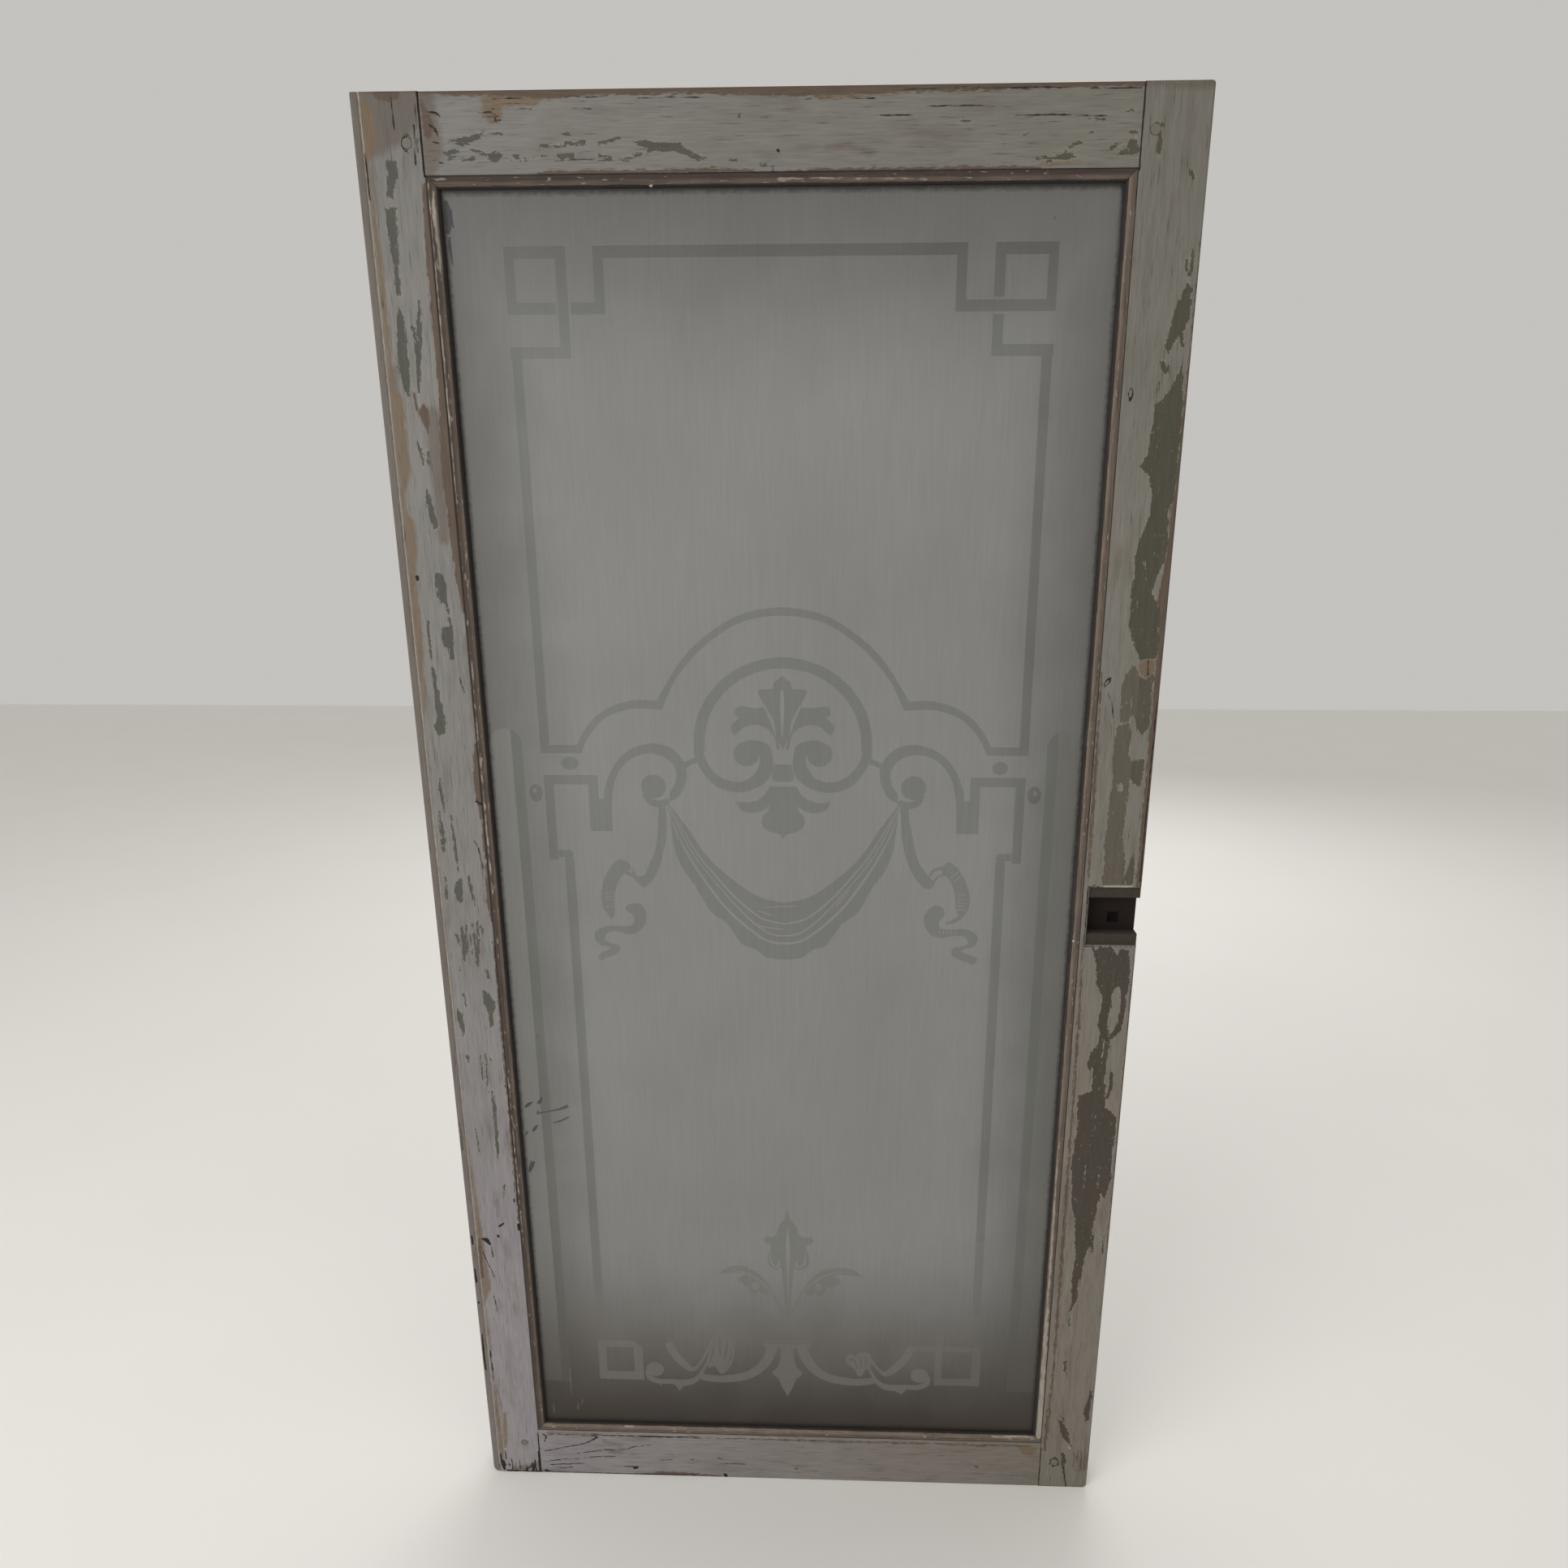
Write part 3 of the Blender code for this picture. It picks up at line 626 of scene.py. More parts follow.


# Where the dust with its painted shade and the painted floor behind start and end, in metres from the
# middle or above the sill, how far their edges wander, and how the grime with the painted shadow of
# the beads crumbles: its wander, its start and end, and its greatest strength
dirtAndPaintedLightSettings = {
    "sideDustAndShade": (0.215, 0.33),
    "topDustAndShade": (1.25, 1.45),
    "paintedFloorBehind": (0.375, 0.09),
    "wander": (0.05, 0.06),
    "grimeAndShade": (0.0045, 0.001, 0.0052, 0.85),
}


def etchedFinish(name, clear, dustyAndShaded, paintedFloorBehind, rough):
    material, tree, shader = newMaterial(name)
    place = addNode(tree, "ShaderNodeTexCoord").outputs["Object"]
    axes = addNode(tree, "ShaderNodeSeparateXYZ", {0: place}).outputs
    # brushed looking streaks, 1.6 mm across and 50 mm long
    brushed = addNode(tree, "ShaderNodeMapping", {"Vector": place, "Scale": (620, 620, 20)}).outputs[0]
    noises = {}
    for key, at, scale, detail in (
        ("streak", brushed, 1.0, 3.0),
        ("cloud", place, 7.0, 4.0),
        ("wander", place, 16.0, 5.0),
        ("grit", place, 900.0, 2.0),
        ("crumbs", place, 210.0, 4.0),
    ):
        made = addNode(tree, "ShaderNodeTexNoise", {"Vector": at, "Scale": scale, "Detail": detail})
        noises[key] = made.outputs[0]

    # dust with painted shade along both sides and the top, and the painted floor behind at the foot
    fromMiddle = addNode(tree, "ShaderNodeMath", {0: axes[0]}, operation="ABSOLUTE").outputs[0]
    lines = []
    for reach, line in zip(dirtAndPaintedLightSettings["wander"], (fromMiddle, axes[2])):
        made = addNode(
            tree, "ShaderNodeMath", {0: noises["wander"], 1: reach, 2: line}, operation="MULTIPLY_ADD"
        )
        lines.append(made.outputs[0])
    spread = {}
    for key, line in (("sideDustAndShade", lines[0]), ("topDustAndShade", lines[1]), ("paintedFloorBehind", lines[1])):
        start, end = dirtAndPaintedLightSettings[key]
        made = addNode(
            tree,
            "ShaderNodeMapRange",
            {"Value": line, "From Min": start, "From Max": end},
            interpolation_type="SMOOTHSTEP",
        )
        spread[key] = made.outputs[0]
    dustAndShade = addNode(
        tree, "ShaderNodeMath", {0: spread["sideDustAndShade"], 1: spread["topDustAndShade"]}, operation="MAXIMUM"
    )

    # grime and the painted shadow of the beads: how far a place lies past any of the four lines
    # a few millimetres in from the beads
    gap = None
    for first, second in (
        (grimeAndShadeEdges["left"], axes[0]),
        (axes[0], grimeAndShadeEdges["right"]),
        (axes[2], grimeAndShadeEdges["top"]),
        (grimeAndShadeEdges["bottom"], axes[2]),
    ):
        past = addNode(tree, "ShaderNodeMath", {0: first, 1: second}, operation="SUBTRACT").outputs[0]
        if gap is not None:
            past = addNode(tree, "ShaderNodeMath", {0: gap, 1: past}, operation="MAXIMUM").outputs[0]
        gap = past
    crumble, start, end, most = dirtAndPaintedLightSettings["grimeAndShade"]
    crumbly = addNode(
        tree, "ShaderNodeMath", {0: noises["crumbs"], 1: crumble, 2: gap}, operation="MULTIPLY_ADD"
    )
    grimeAndShade = addNode(
        tree,
        "ShaderNodeMapRange",
        {"Value": crumbly.outputs[0], "From Min": start, "From Max": end, "To Max": most},
    )

    # dust with painted shade, then the painted brown of the floor behind, over the clear colour
    layer = srgb(clear)
    for factor, over in ((dustAndShade.outputs[0], dustyAndShaded), (spread["paintedFloorBehind"], paintedFloorBehind)):
        mix = addNode(tree, "ShaderNodeMix", {0: factor, 6: layer, 7: srgb(over)}, data_type="RGBA")
        layer = mix.outputs[2]
    for key, least, most in (("streak", 0.95, 1.04), ("cloud", 0.95, 1.05)):
        shade = addNode(
            tree,
            "ShaderNodeMapRange",
            {"Value": noises[key], "From Min": 0.3, "From Max": 0.7, "To Min": least, "To Max": most},
        )
        toned = addNode(
            tree, "ShaderNodeVectorMath", {0: layer, "Scale": shade.outputs[0]}, operation="SCALE"
        )
        layer = toned.outputs[0]
    grimed = addNode(
        tree,
        "ShaderNodeMix",
        {0: grimeAndShade.outputs[0], 6: layer, 7: srgb(grimeAndShadeSettings["colour"])},
        data_type="RGBA",
    )
    bump = addNode(tree, "ShaderNodeBump", {"Height": noises["grit"], "Strength": 0.12, "Distance": 0.0004})
    tree.links.new(grimed.outputs[2], shader.inputs["Base Color"])
    tree.links.new(bump.outputs[0], shader.inputs["Normal"])
    for key, value in (("Roughness", rough), ("IOR", 1.52), ("Transmission Weight", 0.2)):
        shader.inputs[key].default_value = value
    return material


paneMaterials = {
    kind: etchedFinish("etched glass " + kind, *values) for kind, values in paneSettings.items()
}
pane = buildPane("etchedPane", paneMaterials)
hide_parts("glass_pane")
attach(pane, "root")
print("stage 4: pane,", len(pane.data.polygons), "faces")


# A mark with pairs is a patch's outline, one with threes is a stroke: across, down, half its width
leftStileMarks = {
    "flake": [
        [(24, 45), (30, 46), (31, 56), (27, 62), (25, 71), (21.5, 69), (22, 60), (24, 54)],
        [(19, 77), (27, 77), (26, 95), (25, 112), (24, 126), (24, 138), (21, 137), (21, 115), (19, 95)],
        [(21, 146), (24, 152), (25, 165), (25, 195), (23, 215), (20, 205), (17, 190), (18, 168)],
        [(37.5, 141, 0.6), (36, 160, 1.7), (35, 180, 1.1), (33, 190, 0.7)],
        [(31, 160, 0.6), (33, 175, 1.1), (32, 196, 1.3), (31, 208, 0.6)],
        [(30, 281), (32, 290), (34, 300), (36, 312), (33, 314), (30, 305), (28, 292)],
        [(26, 246, 0.5), (28, 254, 1.0), (30, 264, 0.4)],
        [(33, 251, 0.5), (33, 262, 0.7)],
        [(29.5, 352), (32, 348), (36, 351), (38, 360), (37, 372), (33, 373), (29.5, 366)],
        [(36, 371, 1.2), (38.5, 381, 0.6), (38.5, 392, 0.5)],
        [(31, 394), (40, 392), (40, 405), (39, 421), (36, 421), (35, 412), (31, 408)],
        [(20.5, 389, 0.9), (19.5, 405, 0.8), (20, 420, 0.8)],
        [
            (19, 428), (22, 428), (22.5, 444), (24, 455), (26, 470), (26, 485), (19.5, 487), (17, 478),
            (20, 470), (19.5, 455),
        ],
        [(16.5, 525, 0.4), (17, 540, 1.5), (18, 556, 0.6)],
        [(13, 555, 0.4), (14.5, 575, 1.8), (14.5, 592, 1.2)],
        [(23, 560, 0.4), (24.5, 590, 0.9), (25, 612, 0.4)],
        [(22, 622), (27, 618), (27.5, 632), (25, 643), (21.5, 640), (20, 630)],
        [(34, 617, 0.7), (35, 630, 1.4), (37, 644, 0.5)],
        [(13, 618, 0.4), (12.5, 638, 0.9)],
        [(18, 674, 0.9), (20, 684, 0.7)],
        [(23, 667, 1.3), (24, 685, 2.0), (22.5, 698, 1.0)],
        [(27, 664, 0.8), (26, 690, 0.7)],
        [(33, 663, 0.7), (34, 685, 0.9), (34, 704, 0.6)],
        [(30, 672, 0.4), (31, 694, 0.5)],
        [(38, 660, 1.0), (37, 676, 0.6), (36, 690, 1.4), (34.5, 702, 0.6)],
        [(41, 664, 0.4), (41.5, 676, 0.4)],
        [(18, 704, 0.6), (18, 709, 0.6)],
        [(42, 708, 1.0), (43, 716, 1.2)],
        [
            (37, 728), (41, 732), (47, 741), (47, 746), (44, 752), (44, 764), (41, 767), (40, 755),
            (36.5, 740),
        ],
        [(19, 733, 0.5), (20, 745, 0.6)],
        [(12, 749), (16, 755), (16.5, 770), (14, 778), (12.5, 765), (10.5, 755)],
        [(16, 797, 1.0), (17, 805, 0.6)],
        [(29, 796, 0.4), (29, 822, 0.6)],
        [(34, 795, 0.5), (33, 836, 0.5)],
        [(38, 800, 0.3), (38, 815, 0.3)],
        [(36.5, 836, 0.5), (37.5, 855, 1.6), (37, 875, 1.2), (36.5, 895, 1.6), (36.5, 909, 0.4)],
        [(17.5, 877, 0.7), (18.5, 903, 0.4)],
        [(40, 940, 0.4), (38, 955, 0.3)],
        [(37, 30, 0.5), (40, 28.5, 0.7), (43, 31, 0.4)],
        [(36.5, 33, 0.5), (40, 39, 0.5)],
        [(2.5, 868, 0.8), (2.5, 900, 0.9)],
    ],
    "bare": [
        [(17, -1), (38, -1), (38, 4), (30, 7), (20, 5)],
        [(50, 62, 1.5), (49.5, 110, 3.5), (50, 200, 3.5), (48, 260, 5), (49, 330, 4), (50.5, 380, 1.5)],
        [(50.5, 495, 1.6), (49.5, 520, 3.4), (50, 545, 3), (50.5, 562, 1)],
        [(50.8, 562, 0.5), (50, 580, 1.6), (50.5, 600, 0.6)],
        [(50.5, 604, 1.0), (50, 640, 2.5), (51, 660, 0.8)],
        [(31, 218), (35, 216), (37, 228), (36, 240), (32, 232), (29, 224)],
        [(27, 209, 0.8), (28, 222, 1.0)],
        [(50.5, 680, 0.6), (50.5, 980, 0.6)],
        [(10, 1003, 1.5), (9, 1050, 2.0)],
    ],
    "ochre": [
        [
            (8, 38), (11, 60), (13, 110), (13, 206), (18, 212), (19, 268), (13, 282), (12, 298), (18, 308),
            (18, 330), (14, 350), (15, 400), (12, 440), (12, 460), (8, 470),
        ],
        [(8, 0), (16, 10), (18, 26), (14, 44), (8, 48)],
        [(8, 880), (11, 930), (13.5, 985), (15.5, 1030), (17.5, 1062), (14, 1070), (8, 1085)],
        [(9.5, 1085, 1.0), (10, 1120, 1.6), (9.8, 1150, 0.8)],
        [(10, 1185, 1.6), (10.5, 1230, 2.6), (10.5, 1290, 2.4)],
        [(17.5, 1222, 2.4), (17, 1240, 3.0), (15.5, 1266, 1.8)],
        [(12, 1185, 1.2), (14.5, 1205, 1.4), (15, 1220, 1.0)],
    ],
    "stain": [
        [(-1, -1), (7.4, -1), (7.4, 1301), (-1, 1301)],
        [(7, -2), (51, -2), (51, 20), (36, 34), (18, 42), (7, 44)],
        [(40, 225, 6), (40, 320, 5)],
        [(12, 44, 0.8), (12.5, 80, 0.8)],
        [(12, 192, 2.4), (12.5, 208, 1.4)],
        [(25, 1298, 5), (48, 1290, 3)],
        [(50, 400, 1.0), (50.5, 480, 1.0)],
    ],
    "crack": [
        [(50.6, -1, 0.6), (50.6, 56, 0.6)],
        [(50.7, 1247, 0.4), (50.7, 1301, 0.55)],
        [(7.9, 40, 0.3), (8.1, 58, 0.55), (8, 72, 0.3)],
        [(31, 4, 0.3), (31.5, 25, 0.2)],
        [(46, 22, 0.25), (45, 48, 0.35)],
        [(48, 8, 0.2), (47.5, 40, 0.2)],
        [(14.8, 352, 1.2), (15, 354, 1.1)],
        [(42, 436, 0.25), (45, 449, 0.35)],
        [(42, 583, 0.3), (45, 590, 0.35), (47.5, 610, 0.3)],
        [(46.5, 546, 0.6), (51, 548.5, 0.9)],
        [(40.6, 28.6, 0.2), (36.6, 31.4, 0.4), (35.9, 34.8, 0.5), (38, 39, 0.3), (40.4, 40.6, 0.4)],
        [(13, 1003, 0.8), (17, 1004, 2.2), (20, 1009, 1.1)],
        [(29, 999, 1.1), (29.5, 1000, 1.1)],
        [(31, 988, 0.9), (35.5, 984.5, 0.8)],
        [(50, 985, 1.1), (50.3, 992, 0.8)],
        [(12, 1018, 0.25), (17, 1034, 0.35), (22, 1050, 0.2)],
        [(21.5, 1012, 0.2), (22, 1024, 0.4)],
        [(19, 1072, 0.2), (21.5, 1092, 0.35)],
        [(49.5, 829, 0.7), (50, 831, 0.6)],
        [(48, 956, 0.6), (48, 959, 0.6)],
        [(3, 1000, 0.7), (3, 1010, 0.7)],
        [(2.5, 1040, 0.6), (3, 1055, 0.9)],
        [(3, 1080, 1.0), (3, 1081, 1.0)],
        [(3, 1120, 0.6), (2.5, 1150, 0.8), (3, 1165, 0.5)],
        [(12, 1285, 0.5), (13, 1292, 0.9)],
        [(17, 1290, 0.8), (18, 1292, 0.6)],
        [(42, 1288, 0.7), (43, 1300, 1.2)],
        [(25, 1299, 1.2), (32, 1300, 0.8)],
        [(49.5, 1272, 0.5), (49.5, 1300, 0.9)],
        [(40, 1292, 0.5), (33, 1299, 0.4)],
        [(14.5, 1272, 0.3), (15, 1283, 0.4)],
        [(20.5, 1282, 0.3), (21, 1294, 0.5), (20, 1299, 0.6)],
        [(24, 1288, 0.3), (23.5, 1297, 0.4)],
        [(28.5, 1284, 0.25), (29, 1296, 0.45)],
        [(35, 1289, 0.3), (36, 1297, 0.5)],
        [(45.5, 1283, 0.3), (44.5, 1292, 0.8), (46.5, 1299, 0.5)],
        [(9, 1276, 0.5), (10, 1288, 1.0), (12, 1297, 1.2)],
        [(15, 1298.6, 1.0), (30, 1299.4, 0.7), (50, 1299.4, 0.9)],
        [(9.5, 1140, 0.3), (10, 1164, 0.6), (9.8, 1180, 0.3)],
    ],
    # painted highlight: the lit arris beside the quirk, down the stile's whole length
    "light": [[(7.0, -1, 0.5), (7.0, 1290, 0.5)]],
}
rightStileMarks = {
    "flake": [
        [(578, 32, 1.0), (581, 27.5, 1.4), (585, 28.5, 1.2)],
        [(581.5, 34), (584.5, 33), (586, 38), (585.5, 44), (584, 49.5), (582, 45), (582, 40)],
        [(608, 59, 1.5), (610, 63, 1.0)],
        [(614, 111, 0.6), (613.5, 128, 0.9)],
        [(610, 118, 0.5), (611, 125, 0.6)],
        [
            (612, 133), (616, 138), (616, 158), (612, 168), (606, 176), (603, 183), (600, 178), (603, 164),
            (605, 150), (609, 144),
        ],
        [(610, 166, 1.5), (613, 178, 1.2)],
        [(599, 189, 1.2), (602, 197, 1.4), (604, 192, 0.8)],
        [(597.5, 204, 0.5), (597, 212, 0.6)],
        [
            (614, 190), (611, 200), (607, 209), (601, 216), (596, 221), (597, 232), (595, 240), (594, 256),
            (589, 266), (595, 271), (598, 278), (600, 290), (600, 303), (597, 311), (593, 322), (591, 336),
            (592, 350), (590, 359), (591, 375), (590.5, 390), (594, 402), (598, 412), (602, 419),
            (614, 418), (615, 404), (613.5, 395), (615, 384), (613, 376), (608, 369), (606, 362),
            (609, 350), (614, 338), (615, 322), (613, 302), (617, 282), (617.5, 240), (617, 218),
            (615, 204),
        ],
        [
            (597, 424), (602, 432), (608, 436), (614, 430), (613, 446), (614, 470), (612, 478), (608, 483),
            (604, 478), (603, 470), (599, 465), (597, 471), (590, 472), (589, 462), (589, 440), (592, 430),
        ],
        [
            (588, 476), (597, 473), (600, 482), (598, 500), (602, 506), (612, 504), (612, 520), (610, 529),
            (605, 525), (601, 519), (597, 522), (593, 520), (589, 526), (587, 515), (586.5, 500),
            (587, 486),
        ],
        [
            (587, 530), (590, 536), (598, 536), (601, 545), (600, 575), (603, 592), (604, 610), (605, 619),
            (585, 619), (586.5, 600), (585, 580), (587, 560), (586, 545),
        ],
        [(608, 598), (610, 588), (612, 600), (612, 619), (606, 619), (605, 608)],
        [
            (581, 676), (586, 682), (589, 678), (600, 679), (604, 687), (607, 680), (614, 682), (617, 700),
            (616, 722), (613, 730), (611, 722), (607, 716), (603, 722), (602, 733), (598, 729), (592, 724),
            (588, 712), (586.5, 695),
        ],
        [
            (594, 724), (602, 722), (603, 735), (601, 745), (601, 758), (604, 771), (603, 790), (602, 812),
            (600, 830), (600, 852), (594, 850), (592, 830), (591, 800), (594, 780), (595, 765), (592, 755),
            (594, 740),
        ],
        [(612, 722, 2.2), (613, 742, 1.8), (611, 760, 2.6), (605, 768, 1.6)],
        [(592, 778), (595, 782), (592, 795), (588, 804), (586, 796), (589, 785)],
        [(608, 806, 1.3), (608.5, 822, 1.4), (606, 832, 1.0)],
        [
            (580, 830), (590, 826), (603, 818), (605, 842), (611, 846), (616, 853), (616, 880), (615, 900),
            (617, 920), (612, 941), (608, 936), (606, 952), (602, 990), (588, 990), (586, 965), (583, 956),
            (581, 940), (579, 900), (580, 880), (582, 862), (580, 846),
        ],
        [
            (587, 978), (601, 978), (604, 997), (600, 1000), (598, 1010), (597, 1030), (594, 1042),
            (594, 1060), (591, 1072), (588, 1075), (590, 1062), (588, 1040), (588.5, 1020), (590, 1004),
            (588, 994),
        ],
        [(604.5, 985, 0.8), (605, 1003, 0.8)],
        [(588, 518), (601, 518), (601, 542), (587.5, 540)],
        [(613, 985, 0.5), (615, 1005, 0.6)],
        [(588, 1080, 0.5), (589, 1092, 0.8)],
        [(588, 1137, 1.0), (588.5, 1148, 1.2)],
        [(616, 1172), (618, 1180), (616, 1195), (616.5, 1210), (613.5, 1213), (611, 1200), (613, 1188)],
        [
            (585, 1211), (590, 1214), (595, 1222), (599, 1237), (600, 1243), (596, 1241), (591, 1233),
            (588, 1221),
        ],
        [(593, 1256, 1.6), (595, 1266, 2.2), (595, 1276, 1.2)],
        [
            (581, 1265, 1.2), (585, 1262, 1.2), (589, 1265, 1.3), (589, 1271, 1.2), (584, 1273, 1.0),
            (581, 1269, 1.0),
        ],
    ],
    "keep": [
        [(603, 479, 1.0), (607, 488, 1.6), (604, 498, 1.6)],
        [(594.5, 528.6, 3.4), (594.5, 530, 3.4)],
        [(598, 340, 0.8), (599.5, 344, 0.7)],
        [(597.5, 443, 0.5), (598, 460, 0.4)],
        [(599, 795, 0.5), (598.5, 770, 0.8)],
        [(592, 905, 0.3), (592, 935, 0.4)],
        [(604, 905, 0.3), (605, 930, 0.7)],
    ],
    "bare": [
        [
            (619, 190, 0.8), (618.5, 260, 1.6), (617.5, 330, 2.4), (616.5, 370, 5.0), (617.5, 410, 2.8),
            (617.5, 470, 2.6), (617.5, 560, 2.8), (617.5, 619, 2.8),
        ],
        [(619.6, 100, 0.6), (619.6, 190, 0.9)],
        [(571.6, 430, 0.4), (572.4, 520, 1.3), (573.4, 600, 0.9), (574, 620, 0.3)],
        [(573.8, 680, 0.4), (575, 760, 1.2), (575.6, 860, 1.0), (576.4, 1000, 1.6), (577, 1120, 1.2)],
        [(577, 1120, 1.2), (576.4, 1170, 0.7), (575.4, 1230, 1.2)],
        [(619.4, 690, 0.8), (619.4, 1000, 0.9)],
        [(604.5, 1254, 0.2), (605, 1264, 0.6), (604.8, 1272, 0.2)],
        [(608, 1250, 0.3), (608.4, 1262, 0.8), (608, 1279, 0.3)],
        [(612, 1252, 0.3), (612, 1266, 0.9), (612.5, 1280, 0.3)],
        [(615.6, 1249, 0.3), (616, 1264, 0.9), (615.8, 1278, 0.3)],
        [(619, 1246, 0.4), (619, 1264, 1.1), (619, 1284, 0.4)],
        [(573.5, 1200, 0.6), (574.5, 1235, 1.8), (574, 1252, 1.0)],
    ],
    "ochre": [[(600, 422), (614, 418), (615, 430), (608, 435), (602, 431)]],
    "stain": [
        [(608, 410, 5), (608, 436, 3)],
        [(574, 1, 1.5), (596, 3, 2.0), (618, 2, 3.0)],
        [(618, 400, 1.5), (618, 600, 1.5)],
    ],
    "crack": [
        [(570.6, -1, 0.45), (570.6, 57, 0.5)],
        [(570.8, 1249, 0.2), (570.8, 1301, 0.2)],
        [(595, 1274, 0.4), (597, 1288, 0.5), (599.5, 1300, 0.5)],
        [(578, 447, 0.2), (582, 456, 0.25), (584, 468, 0.2)],
        [(574, 441, 0.3), (576, 436.5, 0.4), (579.5, 434, 0.35), (578.6, 438, 0.4), (575, 442, 0.3)],
        [(576.6, 207.6, 0.2), (575.4, 212, 0.3), (577, 217.4, 0.3), (579, 212, 0.25), (578, 208, 0.2)],
        [
            (585.5, 622, 0.3), (580.5, 619.5, 0.35), (574.4, 620.6, 0.4), (574.2, 650, 0.4),
            (574.2, 677.6, 0.45),
        ],
        [(574.2, 677.6, 0.45), (596, 677.5, 0.35), (619, 677.4, 0.3)],
        [(600, 1242, 0.4), (603, 1249, 0.3)],
        [(586, 1205, 0.2), (591, 1210, 0.3), (592, 1216, 0.2)],
        [(608.5, 420, 0.4), (609, 432, 0.4)],
        [(618.4, 455, 0.25), (618, 615, 0.3)],
    ],
    "light": [
        # painted highlight along the top edge of the lock housing
        [(588, 620.2, 0.8), (612, 619.8, 0.8)],
        [(598, 1246, 0.5), (600, 1248, 0.5), (599, 1249.5, 0.4)],
    ],
}
